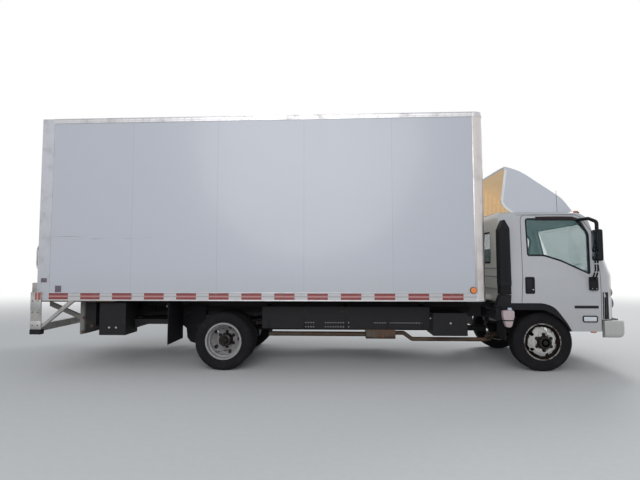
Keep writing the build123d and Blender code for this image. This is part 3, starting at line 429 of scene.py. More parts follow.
    @staticmethod
    def other_side(piece: Piece) -> Piece:
        """A copy of a piece on the truck's other side.

        Args:
            piece: The piece it works on.

        Returns:
            The copy.
        """
        Bench.duplicate(piece).scale = (1, -1, 1)
        copy = Bench.settle()
        Bench.edit(copy)
        bpy.ops.mesh.normals_make_consistent(inside=False)
        Bench.close()
        return copy

    @staticmethod
    def pair(piece: Piece) -> Piece:
        """A piece and its copy on the other side as one mesh."""
        return Bench.join([piece, Bench.other_side(piece)])

    @staticmethod
    def lining(node: Piece, keep: Keep, lift: float) -> Piece:
        """A skin lifted off some of a node's faces.

        Args:
            node: The node whose faces are copied.
            keep: Says from a face's middle and normal whether it is covered.
            lift: How far the skin stands off the faces.

        Returns:
            The skin as a thin sheet.
        """
        piece = Bench.duplicate(node)
        piece.parent = None
        for key in list(piece.keys()):
            del piece[key]
        Bench.edit(piece)
        bpy.ops.mesh.remove_doubles(threshold=1e-5)
        Bench.close()
        Bench.faces(piece, lambda middle, normal: not keep(middle, normal))
        bpy.ops.mesh.delete(type="FACE")
        bpy.ops.mesh.select_all(action="SELECT")
        bpy.ops.transform.shrink_fatten(value=lift)
        Bench.close()
        return Bench.smooth(piece, 30)

    @staticmethod
    def thicken(piece: Piece, thickness: float, bevel: float = 0.0) -> Piece:
        """Gives a sheet a wall on its outer side, with its edges rounded.

        Args:
            piece: The open sheet.
            thickness: How thick the wall is.
            bevel: How wide the rounding is.

        Returns:
            The same piece.
        """
        Bench.modify(piece, "SOLIDIFY", thickness=thickness, offset=1.0)
        if bevel:
            Bench.modify(piece, "BEVEL", width=bevel, segments=2, angle_limit=math.radians(50))
        return Bench.smooth(piece)

    @staticmethod
    def border(node: Piece, keep: Keep, width: float, thickness: float, bevel: float = 0.0) -> Piece:
        """A raised band along the outline of some of a node's faces, seated just inside them.

        Args:
            node: The node whose faces are framed.
            keep: Says from a face's middle and normal whether it is inside the band's outline.
            width: How wide the band is.
            thickness: How far it stands proud.
            bevel: The radius along its edges.

        Returns:
            The finished band.
        """
        piece = Bench.lining(node, keep, -0.0005)
        Bench.edit(piece)
        bpy.ops.mesh.dissolve_limited(angle_limit=math.radians(1.5))
        bpy.ops.mesh.select_mode(type="FACE")
        bpy.ops.mesh.select_all(action="SELECT")
        bpy.ops.mesh.inset(thickness=width)
        bpy.ops.mesh.delete(type="FACE")
        Bench.close()
        return Bench.thicken(piece, thickness, bevel)

    @staticmethod
    def strip(first: Sequence[Point], second: Sequence[Point], thickness: float, bevel: float = 0.0) -> Piece:
        """A curved plate between two lines of as many points.

        Args:
            first: One line's points.
            second: The other line's points.
            thickness: How thick the wall is.
            bevel: How wide the rounding is.

        Returns:
            The plate.
        """
        sides = []
        for points in (first, second):
            sides.append(Bench.wire(points))
            Bench.close()
        piece = Bench.join(sides)
        Bench.edit(piece)
        bpy.ops.mesh.bridge_edge_loops()
        Bench.close()
        return Bench.thicken(piece, thickness, bevel)

    @staticmethod
    def touch(node: Piece, start: Point, towards: Point) -> Vector:
        """Where a straight line from a point first meets a node.

        Args:
            node: The CAD node.
            start: Where the line starts.
            towards: Its direction.

        Returns:
            The place where they meet.
        """
        hit, place, _, _ = node.ray_cast(Vector(start), Vector(towards))
        if not hit:
            raise ValueError(f"nothing of {node.name} lies that way")
        return place

    @staticmethod
    def ahead(node: Piece, y: float, z: float) -> Vector:
        """Where a node's front is at a place across and a height."""
        return Bench.touch(node, (5.0, y, z), (-1, 0, 0))


class Value:
    """A number or colour socket that takes part in Python expressions."""

    def __init__(self, graph: "Graph", socket: Any) -> None:
        """Holds a socket of a graph."""
        self.graph = graph
        self.socket = socket

    def apply(self, operation: str, *others: Any) -> "Value":
        """Adds a Math node on this value and others."""
        inputs = {index: item for index, item in enumerate((self, *others))}
        return self.graph.node("ShaderNodeMath", {"operation": operation}, inputs).out(0)

    def __add__(self, other: Any) -> "Value":
        """Sum."""
        return self.apply("ADD", other)

    __radd__ = __add__

    def __mul__(self, other: Any) -> "Value":
        """Product."""
        return self.apply("MULTIPLY", other)

    __rmul__ = __mul__

    def __sub__(self, other: Any) -> "Value":
        """Difference."""
        return self.apply("SUBTRACT", other)

    def __rsub__(self, other: float) -> "Value":
        """Difference from a number."""
        return self.apply("MULTIPLY", -1.0).apply("ADD", other)

    def __truediv__(self, other: Any) -> "Value":
        """Quotient."""
        return self.apply("DIVIDE", other)

    def fold(self) -> "Value":
        """Distance from zero."""
        return self.apply("ABSOLUTE")

    def share(self) -> "Value":
        """What is left over whole numbers."""
        return self.apply("FRACT")

    def top(self, other: Any) -> "Value":
        """The larger of two values."""
        return self.apply("MAXIMUM", other)

    def low(self, other: Any) -> "Value":
        """The smaller of two values."""
        return self.apply("MINIMUM", other)

    def ramp(self, start: float, end: float) -> "Value":
        """Runs smoothly from 0 at the start to 1 at the end.

        Args:
            start: The value that gives 0.
            end: The value that gives 1.

        Returns:
            The new value.
        """
        rising = end > start
        low, high = (start, end) if rising else (end, start)
        settings = {"interpolation_type": "SMOOTHSTEP"}
        made = self.graph.node("ShaderNodeMapRange", settings, {0: self, 1: low, 2: high}).out(0)
        return made if rising else 1 - made


@dataclass
class Node:
    """A shader node with its outputs by place or name."""

    graph: "Graph"
    node: Any

    def out(self, key: int | str) -> Value:
        """One of the node's outputs."""
        return Value(self.graph, self.node.outputs[key])


class Graph:
    """The shader of one material."""

    def __init__(self, name: str) -> None:
        """Starts a material with an empty shader.

        Args:
            name: The material's name.
        """
        self.material = bpy.data.materials.new(name)
        self.material.use_nodes = True
        self.tree = self.material.node_tree
        self.shader = self.tree.nodes["Principled BSDF"]
        place = self.node("ShaderNodeTexCoord", {}, {}).out("Object")
        self.place = place
        split = self.node("ShaderNodeSeparateXYZ", {}, {0: place})
        self.x, self.y, self.z = split.out(0), split.out(1), split.out(2)

    def node(self, kind: str, settings: dict[str, Any], inputs: dict[int | str, Any]) -> Node:
        """Adds a node: settings first, then the values or links of its sockets.

        Args:
            kind: The node's type.
            settings: Its properties by name.
            inputs: Its sockets' values or links, by place or name.

        Returns:
            The new node.
        """
        node = self.tree.nodes.new(kind)
        for name, value in settings.items():
            setattr(node, name, value)
        for key, value in inputs.items():
            if isinstance(value, Value):
                self.tree.links.new(value.socket, node.inputs[key])
            elif value is not None:
                node.inputs[key].default_value = value
        return Node(self, node)

    def stretched(self, scale: Point) -> Value:
        """The place on the object, scaled along each axis."""
        return self.node("ShaderNodeMapping", {}, {"Vector": self.place, "Scale": scale}).out(0)

    def noise(self, scale: float, detail: float = 3.0, stretch: Point | None = None) -> Value:
        """A cloudy value from 0 to 1.

        Args:
            scale: Clouds to a metre.
            detail: How fine the clouds get.
            stretch: A scale for each axis.

        Returns:
            The value.
        """
        place = self.stretched(stretch) if stretch else self.place
        inputs = {"Vector": place, "Scale": scale, "Detail": detail, "Roughness": 0.6}
        return self.node("ShaderNodeTexNoise", {}, inputs).out(0)

    def cells(self, scale: float) -> Value:
        """The distance to the middle of the nearest random cell."""
        return self.node("ShaderNodeTexVoronoi", {}, {"Vector": self.place, "Scale": scale}).out("Distance")

    def facing(self) -> tuple[Value, Value, Value]:
        """The three parts of the surface's own normal."""
        normal = self.node("ShaderNodeNewGeometry", {}, {}).out("Normal")
        split = self.node("ShaderNodeSeparateXYZ", {}, {0: normal})
        return split.out(0), split.out(1), split.out(2)

    def mix(self, share: Any, low: Any, high: Any) -> Value:
        """A colour between two, by a share from 0 to 1.

        Args:
            share: The second colour's share.
            low: The first colour.
            high: The second colour.

        Returns:
            The mixed colour.
        """
        first = low if isinstance(low, Value) else (*low, 1.0)
        second = high if isinstance(high, Value) else (*high, 1.0)
        settings = {"data_type": "RGBA"}
        return self.node("ShaderNodeMix", settings, {0: share, 6: first, 7: second}).out(2)

    def bump(self, height: Value, strength: float, distance: float) -> None:
        """Raises the surface by a height value."""
        inputs = {"Height": height, "Strength": strength, "Distance": distance}
        self.set({"Normal": self.node("ShaderNodeBump", {}, inputs).out(0)})

    def set(self, sockets: dict[str, Any]) -> None:
        """Gives the surface's sockets their values or links."""
        for name, value in sockets.items():
            if isinstance(value, Value):
                self.tree.links.new(value.socket, self.shader.inputs[name])
            else:
                self.shader.inputs[name].default_value = value


@dataclass(frozen=True)
class Finish:
    """A finish of the truck's pieces, each kind with its own shader.

    Attributes:
        name: The material's name.
    """

    name: str

    def make(self) -> bpy.types.Material:
        """Builds the material."""
        graph = Graph(self.name)
        self.mix(graph)
        return graph.material

    def mix(self, graph: Graph) -> None:
        """Sets up the shader of this kind of finish."""
        raise NotImplementedError


@dataclass(frozen=True)
class Paint(Finish):
    """Sprayed paint with road dust low down, faint waves and, where asked, painted light on its rearward
    faces.

    Attributes:
        colour: The clean paint; on the white cab, deflector and bumper it is set grey, as painted shade.
        dust: The dust's colour.
        dust_height: Above this height the paint is clean.
        dust_share: How much dust covers the lowest paint.
        roughness: The clean paint's roughness.
        coat: How strong the clear coat is.
        rear: A lighter colour painted on faces that look rearward, as painted light from behind, where it
            isn't the same.
    """

    colour: Colour
    dust: Colour = (0.36, 0.33, 0.29)
    dust_height: float = 1.3
    dust_share: float = 0.35
    roughness: float = 0.3
    coat: float = 0.5
    rear: Colour | None = None

    def mix(self, graph: Graph) -> None:
        """Sets up the shader.

        Args:
            graph: The shader to fill.
        """
        clouds = graph.noise(2.2, 5.0)
        streaks = graph.noise(1.0, 4.0, (9.0, 9.0, 0.8))
        fall = graph.z.ramp(self.dust_height, 0.3)
        dust = (fall * (clouds * 0.8 + streaks * 0.8)).ramp(0.05, 1.1) * self.dust_share
        specks = graph.cells(55.0).ramp(0.09, 0.05) * graph.noise(7.0).ramp(0.55, 0.7)
        tone = graph.mix(clouds * 0.5, self.colour, tuple(c * 0.94 for c in self.colour))
        # Rearward faces take the rear colour: painted light from behind.
        if self.rear:
            tone = graph.mix(graph.facing()[0].ramp(-0.15, -0.6), tone, self.rear)
        dusty = graph.mix(dust + specks * fall * 0.7, tone, self.dust)
        graph.set({
            "Base Color": dusty,
            "Roughness": dust * 0.9 + streaks * 0.08 + self.roughness - 0.04,
            "Coat Weight": self.coat,
            "Coat Roughness": 0.08,
        })
        graph.bump(graph.noise(420.0, 1.0) + graph.noise(3.0, 1.0) * 3.0, 0.06, 0.002)


@dataclass(frozen=True)
class BoxPanel(Finish):
    """Smooth pale wall panel with butt seams, faint scuffs and rub marks.

    Attributes:
        colour: The clean panel, its white set grey and bluish as painted shade.
        seam_pitch: The width of one sheet.
        seam_start: Where one seam lies along the truck.
    """

    colour: Colour
    seam_pitch: float = 1.2192
    seam_start: float = 0.895

    def mix(self, graph: Graph) -> None:
        """Sets up the shader.

        Args:
            graph: The shader to fill.
        """
        across = (graph.x - self.seam_start) / self.seam_pitch
        seam_width = 0.0016 / self.seam_pitch
        seam = ((across + 100.5).share() - 0.5).fold().ramp(seam_width * 2.0, seam_width)
        sheet = graph.node("ShaderNodeTexWhiteNoise", {"noise_dimensions": "1D"},
                           {"W": across.apply("FLOOR")}).out(0)
        clouds = graph.noise(0.9, 5.0)
        streaks = graph.noise(0.7, 5.0, (7.0, 7.0, 0.35))
        weave = graph.noise(60.0, 2.0, (1.0, 1.0, 5.0))
        scuff_band = (graph.z - 1.872).fold().ramp(0.035, 0.008)
        scuff_band *= graph.x.ramp(-2.3, -2.7)
        scuffs = scuff_band * graph.noise(2.6, 4.0, (1.0, 1.0, 30.0)).ramp(0.57, 0.66)
        grime = graph.z.ramp(1.45, 1.1) * (streaks * 0.8)
        low_scuffs = graph.noise(3.0, 6.0, (1.0, 1.0, 22.0)).ramp(0.7, 0.76) * graph.z.ramp(2.3, 1.6)
        tone = graph.mix(sheet * 0.35 + clouds * 0.5, self.colour, tuple(c * 0.93 for c in self.colour))
        worn = graph.mix((scuffs + low_scuffs * 0.25).low(1.0), tone, (0.27, 0.265, 0.26))
        dirty = graph.mix(grime * 0.4, worn, (0.42, 0.4, 0.36))
        lined = graph.mix(seam * 0.4, dirty, (0.25, 0.25, 0.27))
        graph.set({
            "Base Color": lined,
            "Roughness": weave * 0.1 + clouds * 0.12 + 0.2,
            "Coat Weight": 0.35,
            "Coat Roughness": 0.12,
        })
        graph.bump(weave * 0.3 + clouds * 2.5 - seam * 0.8, 0.12, 0.0015)


@dataclass(frozen=True)
class Metal(Finish):
    """Bare metal with rolling streaks, dull patches and grime.

    Attributes:
        colour: The clean metal.
        grain: The stretch of its streaks along each axis.
        roughness: The clean metal's roughness.
        grime: How much dirt is on it.
        rust: How much rust is on it.
    """

    colour: Colour
    grain: Point = (1.0, 1.0, 14.0)
    roughness: float = 0.3
    grime: float = 0.3
    rust: float = 0.0

    def mix(self, graph: Graph) -> None:
        """Sets up the shader.

        Args:
            graph: The shader to fill.
        """
        streaks = graph.noise(9.0, 5.0, self.grain)
        patches = graph.noise(5.0, 6.0)
        dirt = patches.ramp(0.45, 0.75) * self.grime
        rust = graph.noise(11.0, 8.0).ramp(0.62, 0.7) * self.rust
        tone = graph.mix(streaks * 0.6, self.colour, tuple(c * 0.8 for c in self.colour))
        dirty = graph.mix(dirt, tone, (0.2, 0.18, 0.16))
        rusty = graph.mix(rust, dirty, (0.2, 0.075, 0.03))
        graph.set({
            "Base Color": rusty,
            "Metallic": 1 - (dirt * 0.7 + rust).low(1.0),
            "Roughness": streaks * 0.18 + dirt * 0.5 + rust * 0.5 + self.roughness - 0.06,
        })
        graph.bump(streaks + patches * 0.5, 0.15, 0.0008)


@dataclass(frozen=True)
class Chassis(Finish):
    """Black paint on steel with dust on its upper faces, rust coming through and, towards the rear where
    asked, a lighter grey of painted highlight.

    Attributes:
        colour: The black paint.
        dust: How much dust lies on it.
        rust: How much rust shows.
        bare_and_painted_light: Behind this place along the truck the black is painted grey, a painted
            highlight where light falls on the lift's arms.
    """

    colour: Colour = (0.011, 0.011, 0.013)
    dust: float = 0.12
    rust: float = 0.4
    bare_and_painted_light: float = -9.0

    def mix(self, graph: Graph) -> None:
        """Sets up the shader.

        Args:
            graph: The shader to fill.
        """
        up = graph.facing()[2].ramp(-0.1, 0.9)
        clouds = graph.noise(6.0, 7.0)
        fine = graph.noise(70.0, 4.0)
        rust = graph.noise(4.0, 9.0).ramp(0.62, 0.76) * self.rust
        dust = (clouds.ramp(0.35, 0.8) * 0.5 + up * 0.5 + fine * 0.15) * self.dust
        # Behind that place the black turns grey: a painted highlight on the lift's lit arms.
        worn = graph.x.ramp(self.bare_and_painted_light + 0.03, self.bare_and_painted_light - 0.03) * (fine.ramp(0.2, 0.5) * 0.3 + 0.7)
        paint = graph.mix(worn, self.colour, (0.2, 0.195, 0.185))
        rusty = graph.mix(rust, paint, (0.14, 0.06, 0.03))
        dusty = graph.mix(dust * 0.5, rusty, (0.17, 0.15, 0.13))
        graph.set({
            "Base Color": dusty,
            "Roughness": clouds * 0.2 + dust * 0.3 + rust * 0.2 + 0.46,
            "Specular IOR Level": 0.22,
        })
        graph.bump(fine + clouds * 2.0 + rust * 2.0, 0.3, 0.0012)


@dataclass(frozen=True)
class Moulded(Finish):
    """Grained plastic or rubber, a little faded on its upper faces.

    Attributes:
        colour: The plastic's colour.
        roughness: Its roughness.
        grain: Grains to a metre.
        fade: How far the upper faces go grey.
        shine: How strongly it mirrors face on.
    """

    colour: Colour = (0.013, 0.013, 0.016)
    roughness: float = 0.55
    grain: float = 700.0
    fade: float = 0.1
    shine: float = 0.15

    def mix(self, graph: Graph) -> None:
        """Sets up the shader.

        Args:
            graph: The shader to fill.
        """
        up = graph.facing()[2].ramp(0.0, 1.0)
        clouds = graph.noise(5.0, 6.0)
        pores = graph.cells(self.grain)
        faded = tuple(c * 0.7 + 0.04 for c in self.colour)
        tone = graph.mix((up * 0.6 + clouds.ramp(0.4, 0.8) * 0.5) * self.fade, self.colour, faded)
        dust = clouds.ramp(0.55, 0.85) * graph.z.ramp(1.3, 0.3) * 0.2
        graph.set({
            "Base Color": graph.mix(dust, tone, (0.2, 0.18, 0.16)),
            "Roughness": clouds * 0.2 + dust * 0.3 + self.roughness - 0.08,
            "Specular IOR Level": self.shine,
        })
        graph.bump(pores + clouds, 0.2, 0.0006)


@dataclass(frozen=True)
class TyreRubber(Finish):
    """Black tyre rubber, greyed by dust on its sidewall and tread.

    Attributes:
        axle_height: The wheel's middle above the ground; not used.
    """

    axle_height: float = 0.406

    def mix(self, graph: Graph) -> None:
        """Sets up the shader.

        Args:
            graph: The shader to fill.
        """
        clouds = graph.noise(9.0, 7.0)
        fine = graph.noise(160.0, 3.0)
        side = graph.facing()[1].fold().ramp(0.2, 0.9)
        dust = clouds.ramp(0.4, 0.85) * 0.12 + side * 0.03 + fine * 0.05
        graph.set({
            "Base Color": graph.mix(dust, (0.009, 0.009, 0.011), (0.09, 0.08, 0.075)),
            "Roughness": clouds * 0.15 + 0.72,
            "Specular IOR Level": 0.1,
        })
        graph.bump(fine + clouds * 0.6, 0.35, 0.0008)


@dataclass(frozen=True)
class RimPaint(Finish):
    """White wheel paint in a ring round the hub, chipped at its edges down to rusty steel; the near-black
    beyond the ring is partly steel and partly painted shade in the gap between the disc and the rim's flange.

    Attributes:
        centre: Where the wheel's middle is along the truck.
        inner: The radius where the paint begins.
        outer: The radius where the paint ends.
        ring: The radius of the bright bead ring.
        colour: The clean paint.
        rust: How much of the paint has rusted.
        height: The wheel's middle above the ground.
    """

    centre: float
    inner: float
    outer: float
    ring: float
    colour: Colour = (0.5, 0.5, 0.49)
    rust: float = 1.0
    height: float = 0.406

    def mix(self, graph: Graph) -> None:
        """Sets up the shader.

        Args:
            graph: The shader to fill.
        """
        across = graph.x - self.centre
        up = graph.z - self.height
        clouds = graph.noise(7.0, 8.0)
        flakes = graph.noise(26.0, 8.0)
        away = (across * across + up * up).apply("SQRT")
        torn = away + (clouds - 0.5) * 0.09 + (flakes - 0.5) * 0.03
        disc = torn.ramp(self.outer + 0.003, self.outer - 0.003)
        disc *= torn.ramp(self.inner - 0.003, self.inner + 0.003)
        bead = (away - self.ring).fold().ramp(0.01, 0.005) * (flakes * 0.5 + clouds * 0.5).ramp(0.42, 0.56)
        painted = disc.top(bead * 0.65)
        rust = (clouds * 0.55 + flakes * 0.45).ramp(0.56, 0.62) * self.rust
        grime = graph.noise(15.0, 5.0).ramp(0.35, 0.75) * 0.4
        # Near-black steel beyond the paint, partly painted shade in the gap between the disc and the flange.
        bare_and_painted_light = graph.mix(flakes.ramp(0.4, 0.6), (0.026, 0.014, 0.011), (0.01, 0.008, 0.008))
        dirty = graph.mix(grime, self.colour, (0.16, 0.14, 0.12))
        edge = graph.mix(flakes.ramp(0.4, 0.6), (0.17, 0.08, 0.045), (0.05, 0.03, 0.02))
        chipped = graph.mix(rust, dirty, edge)
        graph.set({
            "Base Color": graph.mix(painted, bare_and_painted_light, chipped),
            "Roughness": rust * 0.3 + grime * 0.25 + 0.5,
            "Specular IOR Level": 0.3,
        })
        graph.bump(flakes * 0.6 + painted * 0.6 - rust * 0.8, 0.35, 0.0012)


@dataclass(frozen=True)
class WindowGlass(Finish):
    """Green-tinted window glass with a dusty film.

    Attributes:
        tint: The glass's colour.
        body: How much of the tint shows face on.
    """

    tint: Colour = (0.21, 0.48, 0.47)
    body: float = 0.125

    def mix(self, graph: Graph) -> None:
        """Sets up the shader.

        Args:
            graph: The shader to fill.
        """
        edge = graph.node("ShaderNodeLayerWeight", {}, {"Blend": 0.25}).out("Fresnel")
        film = graph.noise(3.0, 6.0).ramp(0.45, 0.8) * 0.06
        graph.set({
            "Base Color": self.tint + (1.0,),
            "Roughness": 0.03,
            "Alpha": (edge * 0.5 + film + self.body).low(1.0),
            "Specular IOR Level": 0.8,
            "Coat Weight": 1.0,
            "Coat Roughness": 0.02,
        })


@dataclass(frozen=True)
class Lens(Finish):
    """A ribbed lamp lens.

    Attributes:
        colour: The lens's colour.
        alpha: How solid it looks.
        ribs: Ribs to a metre.
    """

    colour: Colour
    alpha: float = 1.0
    ribs: float = 220.0

    def mix(self, graph: Graph) -> None:
        """Sets up the shader.

        Args:
            graph: The shader to fill.
        """
        ribs = ((graph.x + graph.y) * self.ribs).share() - 0.5
        rows = (graph.z * self.ribs).share() - 0.5
        dirt = graph.noise(30.0, 5.0).ramp(0.4, 0.8) * 0.35
        graph.set({
            "Base Color": graph.mix(dirt, self.colour, tuple(c * 0.55 for c in self.colour)),
            "Roughness": dirt * 0.4 + 0.12,
            "Alpha": self.alpha,
            "Coat Weight": 0.8,
            "Coat Roughness": 0.05,
        })
        graph.bump(ribs.fold() + rows.fold(), 0.25, 0.001)


@dataclass(frozen=True)
class Cloth(Finish):
    """Woven seat cloth.

    Attributes:
        colour: The darker thread.
        threads: Threads to a metre.
    """

    colour: Colour = (0.05, 0.052, 0.06)
    threads: float = 420.0

    def mix(self, graph: Graph) -> None:
        """Sets up the shader.

        Args:
            graph: The shader to fill.
        """
        warp = ((graph.y * self.threads).share() - 0.5).fold()
        weft = (((graph.x + graph.z) * self.threads).share() - 0.5).fold()
        clouds = graph.noise(12.0, 4.0)
        pale = tuple(c * 2.4 for c in self.colour)
        graph.set({
            "Base Color": graph.mix(warp + clouds * 0.4, self.colour, pale),
            "Roughness": clouds * 0.1 + 0.85,
            "Sheen Weight": 0.3,
        })
        graph.bump(warp + weft, 0.5, 0.0008)


@dataclass(frozen=True)
class RawFibre(Finish):
    """Bare tan fibreglass with its brushed-on strands, lit from within by painted light.

    Attributes:
        colour: The resin's colour.
        painted_glow: How strongly it emits, painted light that stands in for daylight coming through the thin
            shell.
    """

    colour: Colour = (0.82, 0.62, 0.38)
    painted_glow: float = 0.42

    def mix(self, graph: Graph) -> None:
        """Sets up the shader.

        Args:
            graph: The shader to fill.
        """
        strands = graph.noise(30.0, 8.0, (1.0, 4.0, 1.0))
        ribs = (((graph.x + graph.y * 0.6) * 13.0).share() - 0.5).fold().ramp(0.08, 0.2)
        tone = graph.mix(strands.ramp(0.3, 0.8) * 0.6, self.colour, tuple(c * 0.72 for c in self.colour))
        ribbed = graph.mix(ribs * 0.3, tone, tuple(c * 0.55 for c in self.colour))
        graph.set({
            "Base Color": ribbed,
            "Roughness": strands * 0.2 + 0.6,
            # Emission is painted light for daylight through the shell.
            "Emission Color": ribbed,
            "Emission Strength": self.painted_glow,
        })
        graph.bump(strands + ribs, 0.5, 0.002)


@dataclass(frozen=True)
class Tape(Finish):
    """Reflective tape with a honeycomb under its clear face.

    Attributes:
        colour: The tape's colour.
        middle: The colour of the band along its middle.
        band: Half the height of that band.
        centre: The height of the band's middle on the rail.
    """

    colour: Colour
    middle: Colour
    band: float = 0.014
    centre: float = 1.0465

    def mix(self, graph: Graph) -> None:
        """Sets up the shader.

        Args:
            graph: The shader to fill.
        """
        cells = graph.cells(260.0)
        clouds = graph.noise(8.0, 5.0)
        inside = (graph.z - self.centre).fold().ramp(self.band + 0.003, self.band - 0.001)
        banded = graph.mix(inside, self.colour, self.middle)
        tone = graph.mix(cells * 0.3, banded, tuple(c * 0.6 for c in self.colour))
        graph.set({
            "Base Color": graph.mix(clouds.ramp(0.5, 0.8) * 0.35, tone, (0.25, 0.22, 0.2)),
            "Roughness": clouds * 0.2 + 0.3,
            "Coat Weight": 0.6,
            "Coat Roughness": 0.15,
        })
        graph.bump(cells, 0.15, 0.0005)


FINISHES: tuple[Finish, ...] = (
    # The white cab paint is set grey as painted shade.
    Paint("cab_paint", (0.47, 0.475, 0.495)),
    # Rearward faces of the cab's back are painted cream as painted light from behind.
    Paint("back_paint_lit_rear", (0.47, 0.475, 0.495), rear=(0.86, 0.83, 0.73)),
    # The lift's arms are painted grey as a highlight where light falls on them.
    Chassis("lift_paint", bare_and_painted_light=-3.56),
    # The white deflector and bumper are set grey as painted shade.
    Paint("deflector_paint", (0.575, 0.6, 0.66), dust_height=0.4),
    Paint("bumper_paint", (0.5, 0.51, 0.5), dust_share=0.5),
    # The white box panels are set grey and bluish as painted shade.
    BoxPanel("box_panel", (0.52, 0.54, 0.6)),
    Metal("bright_post", (0.62, 0.59, 0.58), grain=(12.0, 12.0, 1.0), roughness=0.28),
    Metal("rail_metal", (0.6, 0.6, 0.62), grain=(1.0, 14.0, 14.0), roughness=0.34),
    Metal("rear_metal", (0.5, 0.52, 0.56), grain=(12.0, 12.0, 1.0), roughness=0.4),
    Metal("roof_sheet", (0.58, 0.59, 0.61), grain=(1.0, 12.0, 12.0), roughness=0.4, grime=0.22),
    Metal("plate_metal", (0.42, 0.41, 0.4), grain=(6.0, 6.0, 1.0), roughness=0.45, grime=0.6, rust=0.5),
    Metal("fastener", (0.5, 0.5, 0.5), roughness=0.35, grime=0.4),
    Chassis("nut_iron", (0.013, 0.011, 0.011), dust=0.1, rust=0.25),
    Chassis("hub_iron", (0.009, 0.008, 0.009), dust=0.08, rust=0.12),
    Metal("guard_metal", (0.5, 0.5, 0.5), grain=(6.0, 6.0, 1.0), roughness=0.42, grime=0.4, rust=0.15),
    Metal("rusty_steel", (0.11, 0.07, 0.055), roughness=0.6, grime=0.8, rust=0.7),
    # Dark mirror glass: a painted reflection of the dark truck and ground it faces.
    Metal("mirror_painted_dark", (0.07, 0.07, 0.09), roughness=0.14, grime=0.0),
    Metal("exhaust_steel", (0.12, 0.08, 0.06), roughness=0.6, grime=0.8, rust=1.0),
    Metal("engine_iron", (0.16, 0.16, 0.16), roughness=0.55, grime=0.9, rust=0.4),
    Chassis("chassis_paint"),
    Chassis("box_black", rust=0.1),
    Moulded("black_moulding"),
    Moulded("black_rubber", roughness=0.7, grain=300.0),
    Moulded("dash_plastic", (0.07, 0.07, 0.075), roughness=0.6, grain=900.0, fade=0.0),
    Moulded("trim_plastic", (0.2, 0.19, 0.18), roughness=0.65, grain=900.0, fade=0.0),
    Moulded("bottle_plastic", (0.5, 0.4, 0.41), roughness=0.4, grain=60.0, fade=0.1),
    TyreRubber("tyre_rubber"),
    RimPaint("front_rim_paint", 2.988, 0.096, 0.192, 0.247, (0.6, 0.59, 0.57)),
    RimPaint("rear_rim_paint", -1.482, 0.088, 0.262, 0.247, (0.33, 0.325, 0.33), 0.9),
    WindowGlass("window_glass"),
    Lens("amber_lens", (0.85, 0.22, 0.02)),
    Lens("red_lens", (0.45, 0.01, 0.01)),
    Lens("clear_lens", (0.62, 0.68, 0.74), alpha=0.45),
    Lens("lamp_bowl", (0.55, 0.57, 0.6), ribs=60.0),
    Cloth("seat_cloth"),
    RawFibre("raw_fibre"),
    Tape("red_tape", (0.22, 0.02, 0.024), (0.5, 0.22, 0.21), 0.011),
    Tape("white_tape", (0.56, 0.56, 0.57), (0.36, 0.36, 0.37), 0.006),
    Tape("worn_red", (0.36, 0.07, 0.06), (0.42, 0.16, 0.14), 0.0),
    # Plain black, also used as painted shade in the rail's groove, the guards' holes and the gap at the cab's
    # front corner.
    Moulded("black_and_painted_shade", (0.02, 0.02, 0.022), fade=0.0),
    # Pale dots of painted light where the shield's perforations show the lit ground.
    Moulded("dot_painted_light", (0.48, 0.46, 0.43), roughness=0.5, grain=60.0, fade=0.0),
    Moulded("cap_blue", (0.5, 0.56, 0.66), roughness=0.4, grain=60.0, fade=0.0),
    # Near-white: a painted highlight on the deflector's lit lip and the cab's lit front corner.
    Paint("white_painted_highlight", (0.82, 0.82, 0.82), dust_share=0.15),
    Moulded("handle_grey", (0.018, 0.017, 0.021), roughness=0.45, fade=0.0),
    Moulded("smoky_plastic", (0.02, 0.01, 0.012), roughness=0.2, grain=40.0, fade=0.0),
    Moulded("plate_white", (0.62, 0.62, 0.62), roughness=0.4, grain=40.0, fade=0.0),
    Lens("side_lens", (0.62, 0.66, 0.7), ribs=90.0),
    Moulded("label_grey", (0.16, 0.13, 0.17), roughness=0.4, fade=0.0),
)


@dataclass
class Shop:
    """Holds the frame and the finishes, and fits finished pieces on their bodies."""

    frame: dict[str, Any]
    finishes: dict[str, bpy.types.Material] = field(default_factory=dict)

    def mix_finishes(self) -> None:
        """Builds every material."""
        for finish in FINISHES:
            self.finishes[finish.name] = finish.make()

    def coat(self, node: str, finish: str) -> None:
        """Gives a CAD node its finish.

        Args:
            node: The CAD node.
            finish: The finish's name.
        """
        piece = self.frame["nodes"][node]
        if not piece.material_slots:
            piece.data.materials.append(self.finishes[finish])
        for slot in piece.material_slots:
            slot.material = self.finishes[finish]

    def fit(self, name: str, made: Piece | list[Piece], body: str, slot: str, finish: str) -> Piece:
        """Names a new piece, gives it its finish and puts it on a body.

        Args:
            name: The piece's name.
            made: The finished mesh, or the meshes that are joined to make it.
            body: The body that it rides on.
            slot: The record's material slot that it belongs to; not used.
            finish: The material's name.

        Returns:
            The fitted piece.
        """
        piece = Bench.join(made) if isinstance(made, list) else made
        piece.name = name
        piece.data.materials.clear()
        piece.data.materials.append(self.finishes[finish])
        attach(piece, body)
        LOG.info("%s on %s: %d faces", piece.name, body, len(piece.data.polygons))
        return piece


@dataclass
class Assembly:
    """A part of the truck whose pieces are fitted on one body, unless they name another.

    Attributes:
        shop: Where finishes come from.
        body: The body that the pieces ride on.
    """

    shop: Shop
    body: str = "chassis"

    def fit(self, name: str, made: Piece | list[Piece], slot: str, finish: str, body: str = "") -> Piece:
        """Fits a piece, or several meshes as one piece."""
        return self.shop.fit(name, made, body or self.body, slot, finish)

    def both(self, name: str, made: Piece, slot: str, finish: str) -> Piece:
        """Fits a piece and its copy on the other side as one mesh."""
        return self.fit(name, Bench.pair(made), slot, finish)

    def node(self, name: str) -> Piece:
        """One of the frame's CAD nodes."""
        return self.shop.frame["nodes"][name]


